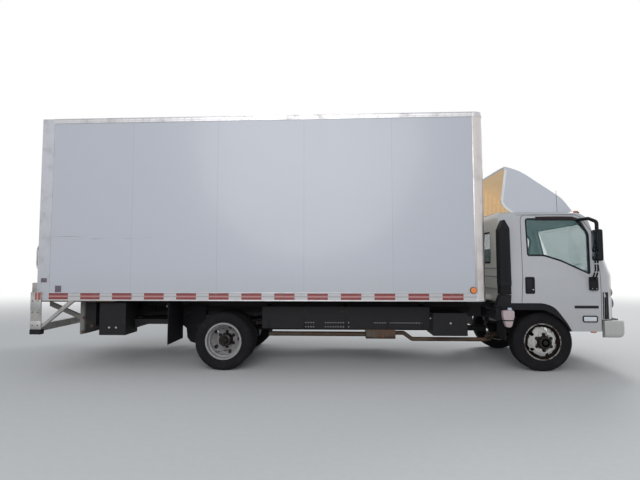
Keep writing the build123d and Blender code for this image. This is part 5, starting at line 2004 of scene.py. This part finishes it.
    def bumper(self) -> None:
        """The bumper's mesh, its blank plate and bolts and its fog lamps, all on the chassis."""
        bumper = self.node("bumper")
        x = Bench.ahead(bumper, 0.0, 0.64).x
        mesh = Bench.block((x - 0.075, -0.332, 0.552), (x - 0.055, 0.332, 0.62))
        bar = Bench.block((x - 0.056, -0.325, 0.556), (x - 0.046, -0.319, 0.616), 0.0015, 1)
        bars = Bench.row(bar, (0, 0.0322, 0), 21)
        self.fit("bumper_mesh", [mesh, bars], "black_plastic", "black_and_painted_shade", "chassis")
        plate = Bench.plate(self.rounded((-0.152, 0.54), (0.152, 0.692), 0.012),
                            (x + 0.0005, x + 0.0025), Face.FRONT, 0.0006)
        self.fit("front_plate", plate, "bright_aluminium", "plate_white", "chassis")
        bolt = Bench.turned([(0.0004, 0.0055), (0.005, 0.005), (0.0065, 0.0022), (0.0065, 0.0)],
                            (x + 0.0005, -0.089, 0.676), Turn.ALONG, 14)
        bolts = Bench.row(bolt, (0, 0.178, 0), 2)
        self.fit("plate_bolts", bolts, "bright_aluminium", "fastener", "chassis")
        lens = [(0.0005, 0.004), (0.03, 0.0035), (0.046, 0.001), (0.05, -0.004)]
        rim = [(0.048, -0.004), (0.05, 0.005), (0.062, 0.005), (0.066, -0.006), (0.048, -0.006)]
        lenses = []
        for name, side in SIDES:
            place = Bench.ahead(bumper, side * 0.72, 0.585)
            lenses.append(Bench.turned(lens, place, Turn.ALONG, 32))
            ring = Bench.turned(rim, place, Turn.ALONG, 32)
            self.fit(f"fog_ring_{name}", ring, "black_plastic", "black_moulding", "chassis")
        self.fit("fog_lamps", lenses, "lamp_clear", "side_lens", "chassis")

    def lamps(self) -> None:
        """Bright bowls, their rims and amber corners inside the head lamps."""
        lamps = self.node("head_lamps")
        bowls, ambers, rims = [], [], []
        for side in (RIGHT, LEFT):
            for y, z, radius in ((0.735, 0.935, 0.072), (0.745, 1.085, 0.05)):
                place = Bench.ahead(lamps, side * y, z)
                bowls.append(Bench.turned([(0.0005, -0.012), (radius * 0.3, -0.012), (radius * 0.32, -0.004),
                                           (radius * 0.36, -0.012), (radius * 0.75, -0.006),
                                           (radius, 0.0012)],
                                          place, Turn.ALONG, 36))
                rims.append(Bench.turned([(radius, -0.004), (radius, 0.002), (radius + 0.005, 0.0028),
                                          (radius + 0.008, -0.002)], place, Turn.ALONG, 36))
            ambers.append(self.amber(lamps, side))
        self.fit("lamp_bowls", bowls, "lamp_clear", "lamp_bowl")
        self.fit("lamp_rims", rims, "bright_aluminium", "fastener")
        self.fit("turn_signals", ambers, "lamp_amber", "amber_lens")

    def amber(self, lamps: Piece, side: float) -> Piece:
        """One amber patch, laid onto a head lamp straight from behind.

        Args:
            lamps: The head lamps' node.
            side: RIGHT or LEFT.

        Returns:
            The patch.
        """
        inner, outer = sorted((side * 0.852, side * 0.965))
        x = Bench.ahead(lamps, side * 0.91, 1.12).x
        outline = self.rounded((inner, 1.062), (outer, 1.168), 0.018)
        patch = Bench.plate(outline, (x - 0.05, x - 0.045), Face.FRONT)
        Bench.edit(patch)
        bpy.ops.mesh.subdivide(number_cuts=3)
        Bench.close()
        Bench.faces(patch, lambda middle, normal: normal.x < 0.5)
        bpy.ops.mesh.delete(type="FACE")
        Bench.close()
        Bench.modify(patch, "SHRINKWRAP", target=lamps, wrap_method="PROJECT", use_project_x=True,
                     use_project_y=False, use_project_z=False, use_negative_direction=True,
                     use_positive_direction=True, offset=0.0008)
        return Bench.thicken(patch, 0.0025)

    def wipers(self) -> None:
        """Two parked wipers with their arms and spindles."""
        glass = self.node("windshield")

        def place(across: float, up: float, off: float) -> Vector:
            """A point just off the windshield."""
            return Bench.ahead(glass, across, up) + Vector((off, 0, off * 0.3))

        reach = -0.62
        pieces = []
        for y in (0.6, -0.08):
            start = place(y, 1.372, 0.018)
            mid = place(y + reach * 0.5, 1.425, 0.022)
            end = place(y + reach * 0.62, 1.445, 0.016)
            pieces.append(Bench.tube([start, (start + mid) / 2 + Vector((0.004, 0, 0)), mid, end], 0.006))
            pieces.append(Bench.rod(start - Vector((0.03, 0, 0.006)), start + Vector((0.008, 0, 0)),
                                    0.014, 16, 0.003))
            pieces.append(Bench.tube([place(y + reach * share, 1.415 + 0.075 * share, 0.0065) for share in
                                      (0.15, 0.3, 0.45, 0.6, 0.75, 0.9, 1.05)], 0.0055, 1))
        self.fit("wipers", pieces, "black_plastic", "black_moulding")

    def roof(self) -> None:
        """Amber roof markers on their bases and the drip rails."""
        lenses, bases = [], []
        for side in (RIGHT, LEFT):
            x, y, z = Bench.touch(self.node("cab_roof"), (3.565, side * 0.812, 3.5), (0, 0, -1))
            lenses.append(Bench.block((x - 0.034, y - 0.016, z + 0.004), (x + 0.034, y + 0.016, z + 0.026),
                                      0.009, 3))
            bases.append(Bench.block((x - 0.042, y - 0.021, z - 0.01), (x + 0.042, y + 0.021, z + 0.007),
                                     0.004, 2))
        for y in (-0.17, 0.0, 0.17):
            x = Bench.ahead(self.node("cab_front"), y, 2.145).x
            lenses.append(Bench.block((x + 0.002, y - 0.03, 2.134), (x + 0.019, y + 0.03, 2.157), 0.007, 3))
            bases.append(Bench.block((x - 0.014, y - 0.037, 2.13), (x + 0.005, y + 0.037, 2.161), 0.003, 2))
        self.fit("roof_markers", lenses, "lamp_amber", "amber_lens")
        self.fit("roof_marker_bases", bases, "black_plastic", "black_moulding")
        rail = [(x, -self.pillar_y(z) - 0.0005, z) for x, z in ((2.7, 2.196), (3.0, 2.203), (3.5, 2.203))]
        self.both("drip_rails", Bench.tube(rail, 0.0045), "cab_white", "cab_paint")

    def deflector(self) -> None:
        """The roof deflector's rolled lip in near-white painted highlight, its side creases, its feet and the
        raw fibre inside it, which emits painted light.
        """
        heart = Vector((2.95, 0.0, 2.35))
        skin = Bench.lining(self.node("roof_deflector"), lambda middle, normal: middle.z > 2.235
                            and (heart - middle).dot(normal) > 0.03 and normal.x > -0.8, 0.0015)
        self.fit("deflector_inside", Bench.thicken(skin, 0.0008), "cab_white", "raw_fibre")

        def width(z: float) -> float:
            """How far out the deflector's side is at a height."""
            return 0.79 - (z - 2.2) * 0.0499

        half = [(2.705, -0.789, 2.213), (2.625, -0.787, 2.268), (2.56, -0.784, 2.325), (2.527, -0.78, 2.395),
                (2.545, -0.774, 2.51), (2.578, -0.764, 2.72), (2.603, -0.757, 2.865), (2.611, -0.722, 2.915),
                (2.613, -0.64, 2.93), (2.613, -0.4, 2.931)]
        lip = Bench.tube(half + [(x, -y, z) for x, y, z in reversed(half)], 0.0095, 2)
        edge = [(x - 0.002, y, z) for x, y, z in half[:7]]
        inner = [(x + 0.03, -width(z + 0.012) - 0.0005, z + 0.012) for x, _, z in half[:7]]
        flanges = Bench.pair(Bench.strip(edge, inner, 0.0015, 0.0004))
        # The lip and flanges are near-white, a painted highlight on the lit edge.
        self.fit("deflector_lip", [lip, flanges], "cab_white", "white_painted_highlight")
        crease = Bench.tube([(3.318, -width(z) - 0.0004, z) for z in (2.225, 2.33, 2.44, 2.555)], 0.0032, 1)
        self.both("deflector_creases", crease, "cab_white", "label_grey")
        foot = Bench.block((2.8, -0.797, 2.212), (2.86, -0.775, 2.236), 0.004, 2)
        self.both("deflector_feet", Bench.row(foot, (0.3, 0, 0), 3), "black_rubber", "black_rubber")

    def side_grooves(self) -> None:
        """A near-white strip of painted highlight on the cab's lit front corner and, behind it, black bands
        of painted shade in the gap between the door and the front panel.
        """
        corner = self.node("cab_front")
        for name, side in SIDES:

            def line(x: float, heights: Sequence[float], off: float) -> list[Vector]:
                """Points down the cab's corner at one place along it, just off its skin."""
                return [Bench.touch(corner, (x, side * 2.0, z), (0, -side, 0)) + Vector((0, side * off, 0))
                        for z in heights]

            # Near-white tube: a painted highlight on the lit front corner.
            trim = Bench.tube(line(3.872, (0.735, 0.85, 0.95, 1.025), -0.001), 0.011, 2)
            self.fit(f"corner_painted_highlight_{name}", trim, "cab_white", "white_painted_highlight")
            # Black bands of painted shade in the gap between the door and the front panel.
            lines = [line(x, (0.735, 0.83, 0.93, 1.03, 1.1), 0.0012)
                     for x in (3.852, 3.834, 3.816, 3.798, 3.78, 3.766)]
            bands = [Bench.strip(fore, rear, 0.0012) for fore, rear in zip(lines, lines[1:])]
            self.fit(f"corner_gap_painted_shade_{name}", bands, "black_rubber", "black_and_painted_shade")

    def back(self) -> None:
        """The intake's louvres and bellows and the back wall's beads."""
        low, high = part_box("snorkel")
        louvre = Bench.block((low[0] - 0.0045, low[1] + 0.012, 1.34), (low[0] + 0.01, high[1] - 0.03, 1.35),
                             0.003, 2)
        rib = Bench.block((low[0] + 0.012, low[1] - 0.004, 1.245), (low[0] + 0.02, low[1] + 0.006, 1.985),
                          0.003, 2)
        band = Bench.block((low[0] - 0.003, low[1] - 0.003, 1.196), (high[0] - 0.002, high[1] - 0.02, 1.216),
                           0.004, 2)
        parts = [Bench.row(louvre, (0, 0, 0.03), 20), Bench.row(rib, (0.0295, 0, 0), 4), band]
        self.fit("snorkel_louvres", parts, "black_plastic", "black_moulding")
        fold = Bench.block((low[0] - 0.003, low[1] + 0.002, 1.078), (high[0] - 0.006, high[1] - 0.012, 1.093),
                           0.006, 3)
        self.fit("intake_bellows", Bench.row(fold, (0, 0, 0.0195), 6), "black_rubber", "black_rubber")
        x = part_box("cab_back")[0][0]
        beads = [Bench.block((x - 0.006, -0.8, z), (x + 0.003, 0.86, z + 0.022), 0.004, 3)
                 for z in (1.12, 1.3, 1.42)]
        self.fit("back_beads", beads, "cab_white", "cab_paint")


@dataclass
class Interior(Assembly):
    """Padded seats, pedals, shifter and the board's instrument hood.

    Attributes:
        voxel: The cell that a cushion is remeshed at before it swells.
        swell: How far a point of a cushion may move.
    """

    body: str = "cab"
    voxel: float = 0.014
    swell: float = 0.016

    def build(self) -> None:
        """Makes the seats and the small controls."""
        self.seats()
        self.controls()

    def cushion(self, low: Point, high: Point, lean: float = 0.0) -> Piece:
        """A foam cushion that swells between its seams.

        Args:
            low: Its lowest corner before it leans.
            high: Its highest corner before it leans.
            lean: How far it turns back about its foot, in degrees.

        Returns:
            The finished cushion.
        """
        inset = 0.008
        piece = Bench.block([value + inset for value in low], [value - inset for value in high], 0.028, 4)
        if lean:
            Bench.edit(piece)
            foot = (low[0], (low[1] + high[1]) / 2, low[2])
            bpy.ops.transform.rotate(value=math.radians(lean), orient_axis="Y", center_override=foot)
            Bench.close()
        Bench.modify(piece, "REMESH", mode="VOXEL", voxel_size=self.voxel)
        self.inflate(piece)
        self.seams(piece)
        Bench.modify(piece, "SUBSURF", levels=1, render_levels=1)
        return Bench.smooth(piece, 60)

    def inflate(self, piece: Piece) -> None:
        """Swells a closed pad with cloth pressure and caps how far its points move.

        Args:
            piece: The piece it works on.
        """
        before = [vertex.co.copy() for vertex in piece.data.vertices]
        last_frame = 20
        cloth = piece.modifiers.new("cloth", "CLOTH")
        cloth.settings.use_pressure = True
        cloth.settings.uniform_pressure_force = 4.0
        cloth.settings.effector_weights.gravity = 0.0
        cloth.settings.quality = 4
        cloth.point_cache.frame_start = 1
        cloth.point_cache.frame_end = last_frame
        for frame in range(1, last_frame + 1):
            bpy.context.scene.frame_set(frame)
        Bench.take(piece)
        bpy.ops.object.modifier_apply(modifier=cloth.name)
        bpy.context.scene.frame_set(1)
        for vertex, start in zip(piece.data.vertices, before):
            moved = vertex.co - start
            if moved.length > self.swell:
                vertex.co = start + moved.normalized() * self.swell

    def seams(self, piece: Piece) -> None:
        """Presses two sewn channels along a cushion.

        Args:
            piece: The piece it works on.
        """
        reach, depth = 0.016, 0.009
        points = piece.data.vertices
        middle = sum((vertex.co for vertex in points), Vector()) / len(points)
        half = max(abs(vertex.co.y - middle.y) for vertex in points)
        for vertex in points:
            away = abs(abs(vertex.co.y - middle.y) - half * 0.62)
            if away < reach:
                vertex.co += (middle - vertex.co).normalized() * depth * (1 - away / reach)

    def seats(self) -> None:
        """The driver's seat and the double seat, each a cushion and a back on its box."""
        boxes = []
        for name, low, high in (("driver", 0.33, 0.85), ("passenger", -0.85, 0.2)):
            seat = self.cushion((2.775, low, 1.135), (3.262, high, 1.28))
            back = self.cushion((2.645, low + 0.01, 1.165), (2.762, high - 0.01, 1.76), 9.0)
            for part, pad in (("cushion", seat), ("back", back)):
                self.fit(f"{name}_{part}", pad, "seat_cloth", "seat_cloth")
            boxes.append(Bench.block((2.8, low + 0.035, 1.041), (3.232, high - 0.035, 1.142), 0.01, 2))
            boxes.append(Bench.block((2.735, low + 0.05, 1.1), (2.81, high - 0.05, 1.19), 0.012, 2))
        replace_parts(self.fit("seat_boxes", boxes, "dash_grey", "dash_plastic"), "seats")

    def controls(self) -> None:
        """The wheel's boss cap, the shifter, three pedals and the instrument hood."""
        profile = [(0.001, 0.03), (0.03, 0.028), (0.046, 0.018), (0.05, 0.0)]
        boss = Bench.turned(profile, (0, 0, 0), Turn.UP, 32)
        Bench.edit(boss)
        bpy.ops.transform.rotate(value=math.radians(35), orient_axis="Y", center_override=(0, 0, 0))
        bpy.ops.transform.translate(value=(3.517, 0.54, 1.456))
        Bench.close()
        lever = Bench.tube([(3.43, 0.22, 1.19), (3.41, 0.22, 1.3), (3.37, 0.22, 1.4)], 0.009)
        knob = Bench.turned([(0.0008, 0.03), (0.016, 0.026), (0.023, 0.01), (0.02, -0.014), (0.01, -0.026),
                             (0.0008, -0.027)], (3.365, 0.22, 1.415), Turn.UP, 20)
        pedals = [Bench.block((3.7, y, 1.1), (3.712, y + width, 1.19), 0.004, 2)
                  for y, width in ((0.4, 0.05), (0.52, 0.08), (0.65, 0.06))]
        hood = Bench.plate([(3.735, 1.395), (3.752, 1.505), (3.8, 1.545), (3.88, 1.52), (3.985, 1.425),
                            (4.0, 1.395)], (0.26, 0.82), Face.SIDE, 0.012)
        self.fit("cab_controls", [boss, lever, knob, hood, *pedals], "dash_grey", "black_moulding")


@dataclass
class Underbody(Assembly):
    """Straps, clips, clamps, hoses and dots below the cab and the freight box.

    Attributes:
        axle_x: Where the front and the rear axle are.
    """

    axle_x: tuple[float, float] = (2.988, -1.482)

    def build(self) -> None:
        """Dresses the chassis from front to rear."""
        self.springs()
        self.shield()
        self.tank()
        self.battery()
        self.exhaust()
        self.bottle()
        self.flaps()
        self.apron()
        self.lines()
        self.step()

    def springs(self) -> None:
        """Rebound clips and the bolts that hold the axles to the springs."""
        for name, half, axle_x in (("front", 0.62, self.axle_x[0]), ("rear", 0.65, self.axle_x[1])):
            axle = self.node(f"{name}_axle")
            middle = self.side_of(axle, axle_x + 0.3)
            parts = []
            for x in (axle_x - 0.052, axle_x + 0.052):
                top = Bench.touch(axle, (x, middle - 0.035, 1.2), (0, 0, -1)).z
                for y in (middle - 0.042, middle + 0.042):
                    parts.append(Bench.rod((x, y, top - 0.16), (x, y, top + 0.012), 0.008, 12, 0.002))
                    parts.append(Bench.rod((x, y, top - 0.175), (x, y, top - 0.155), 0.014, 6, 0.002))
                parts.append(Bench.rod((x, middle - 0.042, top + 0.01), (x, middle + 0.042, top + 0.01),
                                       0.008, 12))
            for shift in (-0.36, 0.36):
                x = axle_x + shift * half / 0.65
                top = Bench.touch(axle, (x, middle, 1.2), (0, 0, -1)).z
                parts.append(Bench.block((x - 0.014, middle - 0.039, top - 0.052),
                                         (x + 0.014, middle + 0.039, top + 0.005), 0.002, 2))
            self.both(f"{name}_spring_bolts", Bench.join(parts), "chassis_black", "rusty_steel")

    def side_of(self, axle: Piece, x: float) -> float:
        """The middle of a spring, found by looking down on it."""
        found = [y / 100 for y in range(-70, -20)
                 if axle.ray_cast(Vector((x, y / 100, 1.2)), Vector((0, 0, -1)))[0]]
        return sum(found) / len(found)

    def shield(self) -> None:
        """Rows of small pale dots, painted light where the shield's perforations show the lit ground, and the
        folded edges of the side shield.
        """
        low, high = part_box("side_shield")
        y, pitch = low[1], 0.037
        rows = [  # height, start, end
            (0.652, -0.36, -0.17), (0.652, -0.04, 0.36), (0.652, 0.67, 1.39),
            (0.592, -0.36, -0.17), (0.592, -0.04, 0.36),
        ]
        dots = []
        for z, start, end in rows:
            dot = Bench.turned([(0.0004, -0.003), (0.006, -0.0026), (0.008, 0.0004)], (start, y, z),
                               Turn.ACROSS, 8)
            dots.append(Bench.row(dot, (pitch, 0, 0), int((end - start) / pitch)))
        # Pale dots of painted light in the shield's perforations.
        self.fit("shield_dots_painted_light", dots, "chassis_black", "dot_painted_light")
        edges = [Bench.block((low[0] + 0.002, y - 0.004, foot), (high[0] - 0.002, y + 0.003, head), 0.0015, 2)
                 for foot, head in ((high[2] - 0.012, high[2] - 0.002), (low[2] + 0.001, low[2] + 0.01))]
        edges += [Bench.block((x - 0.016, y - 0.003, low[2] + 0.008), (x + 0.016, y + 0.003, high[2] - 0.012),
                              0.0015, 2) for x in (low[0] + 0.1, -0.35, 0.25, 0.85, high[0] - 0.1)]
        self.fit("shield_edges", edges, "chassis_black", "box_black")

    def tank(self) -> None:
        """The fuel tank's straps, filler neck and cap."""
        low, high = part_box("fuel_tank")
        straps = [Bench.block((x - 0.024, low[1] + 0.02, low[2] - 0.004),
                              (x + 0.024, high[1] + 0.004, high[2] + 0.004), 0.046, 4)
                  for x in (low[0] + 0.22, high[0] - 0.22)]
        self.fit("tank_straps", straps, "rusty_steel", "fastener")
        x, y, z = high[0] - 0.12, high[1] - 0.09, high[2]
        neck = Bench.turned([(0.0008, 0.046), (0.03, 0.044), (0.036, 0.036), (0.036, 0.02), (0.03, 0.016),
                             (0.03, -0.012)], (x, y, z), Turn.UP, 24)
        grip = Bench.block((x - 0.004, y + 0.03, z + 0.02), (x + 0.004, y + 0.04, z + 0.038), 0.002, 2)
        cap = [neck, Bench.around(grip, (x, y, z), Turn.UP, 10)]
        self.fit("tank_cap", cap, "black_plastic", "black_moulding")

    def battery(self) -> None:
        """Lids, latches and small bright caps on the boxes beside the frame."""
        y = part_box("frame_boxes")[0][1]
        lids = [Bench.block((x_low, y + 0.298, z), (x_high, y + 0.312, z + 0.02), 0.003, 2)
                for x_low, x_high, z in ((1.46, 1.95, 0.7), (-3.2, -2.86, 0.66))]
        latch = Bench.block((1.5, -0.864, 0.64), (1.53, -0.845, 0.705), 0.004, 2)
        self.fit("box_latches", [*lids, Bench.row(latch, (0.38, 0, 0), 2)], "rusty_steel", "fastener")
        caps = []
        for x, z in ((1.72, 0.66), (-3.1, 0.6), (-3.0, 0.6)):
            place = Bench.touch(self.node("frame_boxes"), (x, -2.0, z), (0, 1, 0))
            caps.append(Bench.turned([(0.0004, -0.01), (0.012, -0.009), (0.016, -0.004), (0.016, 0.001)],
                                     place, Turn.ACROSS, 14))
        self.fit("box_caps", caps, "rusty_steel", "fastener")

    def exhaust(self) -> None:
        """Clamps along the exhaust."""
        pipe, radius = self.node("exhaust"), 0.036
        ring = [(radius, -0.011), (0.04, -0.009), (0.04, 0.009), (radius, 0.011), (radius, -0.011)]
        rings = []
        for x, y in ((0.28, -0.6), (0.86, -0.6), (1.7, -0.36), (2.2, -0.36)):
            hit, place, _, _ = pipe.ray_cast(Vector((x, y, 0.2)), Vector((0, 0, 1)))
            if hit:
                rings.append(Bench.turned(ring, place + Vector((0, 0, radius)), Turn.ALONG, 20))
        self.fit("exhaust_clamps", rings, "rusty_steel", "fastener")

    def bottle(self) -> None:
        """The tapered coolant bottle with its cap, strap and hose."""
        low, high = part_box("coolant_bottle")
        outline = [(0.002, 0.215), (0.02, 0.23), (0.14, 0.23), (0.158, 0.212), (0.158, 0.15), (0.122, 0.02),
                   (0.108, 0.002), (0.055, 0.002), (0.04, 0.02), (0.002, 0.15)]
        shell = Bench.plate([(low[0] + x, low[2] + z) for x, z in outline], (low[1] + 0.001, high[1]),
                            Face.SIDE, 0.014)
        shell = self.fit("coolant_bottle_shell", shell, "clear_plastic", "bottle_plastic")
        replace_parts(shell, "coolant_bottle")
        y, z = (low[1] + high[1]) / 2, high[2]
        cap = Bench.turned([(0.0008, 0.034), (0.022, 0.033), (0.027, 0.026), (0.028, 0.006), (0.024, 0.002),
                            (0.022, -0.008)], (low[0] + 0.105, y, z), Turn.UP, 20)
        self.fit("bottle_cap", cap, "clear_plastic", "cap_blue")
        strap = Bench.block((low[0] + 0.012, low[1] - 0.003, low[2] + 0.085),
                            (high[0] - 0.012, high[1] - 0.01, low[2] + 0.103), 0.008, 3)
        self.fit("bottle_strap", strap, "rusty_steel", "box_black")
        route = [(0.03, 0.0, -0.006), (0.02, 0.0, 0.04), (-0.03, 0.03, 0.05), (-0.09, 0.1, -0.02),
                 (-0.12, 0.22, -0.06)]
        hose = Bench.tube([(low[0] + dx, y + dy, z + dz) for dx, dy, dz in route], 0.008)
        self.fit("bottle_hose", hose, "black_rubber", "black_rubber")

    def apron(self) -> None:
        """The rubber apron inside the rear wheels and the lift's ram beside the frame."""
        outline = [(-2.28, 0.86), (-2.28, 0.57), (-2.205, 0.51), (-2.19, 0.37), (-2.14, 0.305),
                   (-2.05, 0.278), (-1.9, 0.268), (-1.9, 0.86)]
        sheet = Bench.plate(outline, (-0.516, -0.506), Face.SIDE, 0.003)
        self.fit("apron", sheet, "black_rubber", "black_rubber")
        ram = Bench.turned([(0.0008, -0.46), (0.02, -0.46), (0.02, -0.06), (0.03, -0.05), (0.041, -0.04),
                            (0.041, 0.3), (0.034, 0.31), (0.034, 0.33), (0.0008, 0.34)],
                           (-2.66, -0.3, 0.662), Turn.ALONG, 24)
        eyes = [Bench.rod((x, -0.33, 0.662), (x, -0.27, 0.662), 0.028, 20, 0.004) for x in (-3.13, -2.31)]
        self.fit("lift_ram", [ram, *eyes], "chassis_black", "chassis_paint")

    def flaps(self) -> None:
        """The strips and bolts that clamp the rear mud flaps."""
        low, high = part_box("mudflaps")
        x, y, z = low[0], low[1] + 0.05, high[2] - 0.0475
        bar = Bench.block((x - 0.006, low[1] + 0.012, high[2] - 0.06),
                          (x + 0.002, low[1] + 0.46, high[2] - 0.035), 0.002, 2)
        bolt = Bench.rod((x - 0.014, y, z), (x - 0.004, y, z), 0.009, 6, 0.0015)
        clamp = Bench.join([bar, Bench.row(bolt, (0, 0.12, 0), 4)])
        self.both("rear_flap_bar", clamp, "rusty_steel", "fastener")

    def lines(self) -> None:
        """Brake lines and a wiring loom clipped along the frame's rails."""
        low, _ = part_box("frame_rails")
        start, y = low[0] + 0.4, low[1]
        end = 2.2
        pieces = []
        for z, radius, wave in ((0.8, 0.007, 0.006), (0.775, 0.005, 0.003), (0.83, 0.01, 0.008)):
            points = [(start + step * 0.33, y - radius - 0.002, z + (wave if step % 2 else -wave))
                      for step in range(18)]
            pieces.append(Bench.tube([point for point in points if point[0] < end], radius, 1))
        clip = Bench.block((start + 0.1, y - 0.024, 0.765), (start + 0.12, y + 0.001, 0.845), 0.002, 1)
        self.fit("chassis_lines", [*pieces, Bench.row(clip, (0.66, 0, 0), 8)], "black_rubber", "black_rubber")

    def step(self) -> None:
        """The amber reflectors on brackets under the cab's steps."""
        for name, side in SIDES:
            bracket = Bench.block((3.64, side * 0.93, 0.54), (3.7, side * 0.955, 0.622), 0.004, 2)
            self.fit(f"step_bracket_{name}", bracket, "chassis_black", "box_black", "cab")
            lens = Bench.block((3.632, side * 0.953, 0.538), (3.708, side * 0.964, 0.572), 0.004, 3)
            self.fit(f"step_reflector_{name}", lens, "lamp_amber", "amber_lens", "cab")


@dataclass
class Studio:
    """The pale floor, the soft lights and the camera at the photograph's place.

    Attributes:
        eye: Where the camera stands.
        yaw: How far it looks to the left of straight across, in degrees.
        pitch: How far it looks up, in degrees.
        roll: How far it leans, in degrees.
        focal_pixels: Its focal length in the photograph's pixels.
        photo_width: The photograph's width in pixels.
        sensor_width: The sensor's width in millimetres.
        floor_reach: Half the floor's width.
        floor_clear: How near the truck the floor starts to go white.
        floor_white: Where the floor is all white.
        sky: The sky's strength.
    """

    eye: Point = (0.174, -7.093, 1.468)
    yaw: float = 2.68
    pitch: float = 3.47
    roll: float = -0.087
    focal_pixels: float = 427.1
    photo_width: float = 640.0
    sensor_width: float = 36.0
    floor_reach: float = 60.0
    floor_clear: float = 5.0
    floor_white: float = 19.0
    sky: float = 0.52

    def build(self) -> None:
        """Sets up everything that isn't the truck."""
        bpy.context.scene.view_settings.view_transform = "Standard"
        self.camera()
        self.floor()
        self.world()
        self.lamps()

    def camera(self) -> None:
        """Places the camera by its eye, yaw, pitch and roll."""
        data = bpy.data.cameras.new("camera")
        data.sensor_width = self.sensor_width
        data.lens = self.focal_pixels / self.photo_width * self.sensor_width
        camera = bpy.data.objects.new("camera", data)
        bpy.context.scene.collection.objects.link(camera)
        yaw, pitch = math.radians(self.yaw), math.radians(self.pitch)
        look = Vector((-math.sin(yaw) * math.cos(pitch), math.cos(yaw) * math.cos(pitch), math.sin(pitch)))
        camera.location = self.eye
        camera.rotation_euler = look.to_track_quat("-Z", "Y").to_euler()
        camera.rotation_euler.rotate_axis("Z", math.radians(self.roll))
        bpy.context.scene.camera = camera

    def floor(self) -> None:
        """A wide pale floor that keeps the truck's shadow and goes white far from it."""
        Bench.clear()
        bpy.ops.mesh.primitive_grid_add(x_subdivisions=4, y_subdivisions=4, size=2 * self.floor_reach)
        floor = Bench.settle()
        floor.name = "floor"
        graph = Graph("floor_finish")
        grain = graph.noise(14.0, 6.0)
        graph.set({"Base Color": graph.mix(grain, (0.62, 0.62, 0.62), (0.68, 0.68, 0.68)), "Roughness": 0.85})
        seen = graph.node("ShaderNodeLightPath", {}, {})
        away = (graph.x * graph.x * 0.5 + graph.y * graph.y).apply("SQRT")
        share = seen.out("Is Camera Ray").top(seen.out("Is Transmission Ray")).top(seen.out("Is Glossy Ray"))
        share *= away.ramp(self.floor_clear, self.floor_white)
        white = graph.node("ShaderNodeEmission", {}, {"Strength": 1.0}).out(0)
        plain = Value(graph, graph.shader.outputs[0])
        both = graph.node("ShaderNodeMixShader", {}, {0: share, 1: plain, 2: white}).out(0)
        graph.tree.links.new(both.socket, graph.tree.nodes["Material Output"].inputs[0])
        floor.data.materials.append(graph.material)

    def world(self) -> None:
        """An even grey sky that shows white to the camera, in gloss and through glass."""
        world = bpy.data.worlds.new("sky")
        bpy.context.scene.world = world
        world.use_nodes = True
        tree = world.node_tree
        tree.nodes.clear()

        def node(kind: str, *inputs: Any) -> Any:
            """Adds a node, its inputs given in order as sockets or values."""
            made = tree.nodes.new(kind)
            for socket, value in zip(made.inputs, inputs):
                if isinstance(value, bpy.types.NodeSocket):
                    tree.links.new(value, socket)
                else:
                    socket.default_value = value
            return made

        seen = node("ShaderNodeLightPath").outputs
        either = node("ShaderNodeMath", seen["Is Camera Ray"], seen["Is Transmission Ray"])
        white_seen = node("ShaderNodeMath", either.outputs[0], seen["Is Glossy Ray"])
        either.operation = white_seen.operation = "MAXIMUM"
        sky = node("ShaderNodeBackground", (0.9, 0.95, 1.0, 1.0), self.sky)
        white = node("ShaderNodeBackground", (1.0, 1.0, 1.0, 1.0), 1.0)
        both = node("ShaderNodeMixShader", white_seen.outputs[0], sky.outputs[0], white.outputs[0])
        node("ShaderNodeOutputWorld", both.outputs[0])

    def lamps(self) -> None:
        """A soft sun from behind the cab's front and a wide fill from the camera's side."""
        rows = [  # name, place, aim, size, watts
            ("key", (7.0, 7.0, 9.0), (1.0, 0.0, 1.5), 5.0, 500.0),
            ("fill", (-1.0, -12.0, 6.0), (0.0, 0.0, 1.5), 9.0, 500.0),
        ]
        for name, place, aim, size, watts in rows:
            data = bpy.data.lights.new(name, "AREA")
            data.shape = "DISK"
            data.size = size
            data.energy = watts
            lamp = bpy.data.objects.new(name, data)
            bpy.context.scene.collection.objects.link(lamp)
            lamp.location = place
            lamp.rotation_euler = (Vector(aim) - Vector(place)).to_track_quat("-Z", "Y").to_euler()


def main() -> None:
    """Builds the finishes, dresses each sub-assembly and sets up the studio."""
    logging.basicConfig(level=logging.INFO, format="%(name)s %(message)s")
    shop = Shop(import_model())
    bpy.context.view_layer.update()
    shop.mix_finishes()
    for finish, nodes in NODE_FINISHES.items():
        for node in nodes:
            shop.coat(node, finish)
    for assembly in (Wheels(shop), FreightBox(shop), Lift(shop), Cab(shop), Interior(shop), Underbody(shop)):
        LOG.info("building %s", type(assembly).__name__)
        assembly.build()
    Studio().build()


if __name__ == "__main__":
    main()
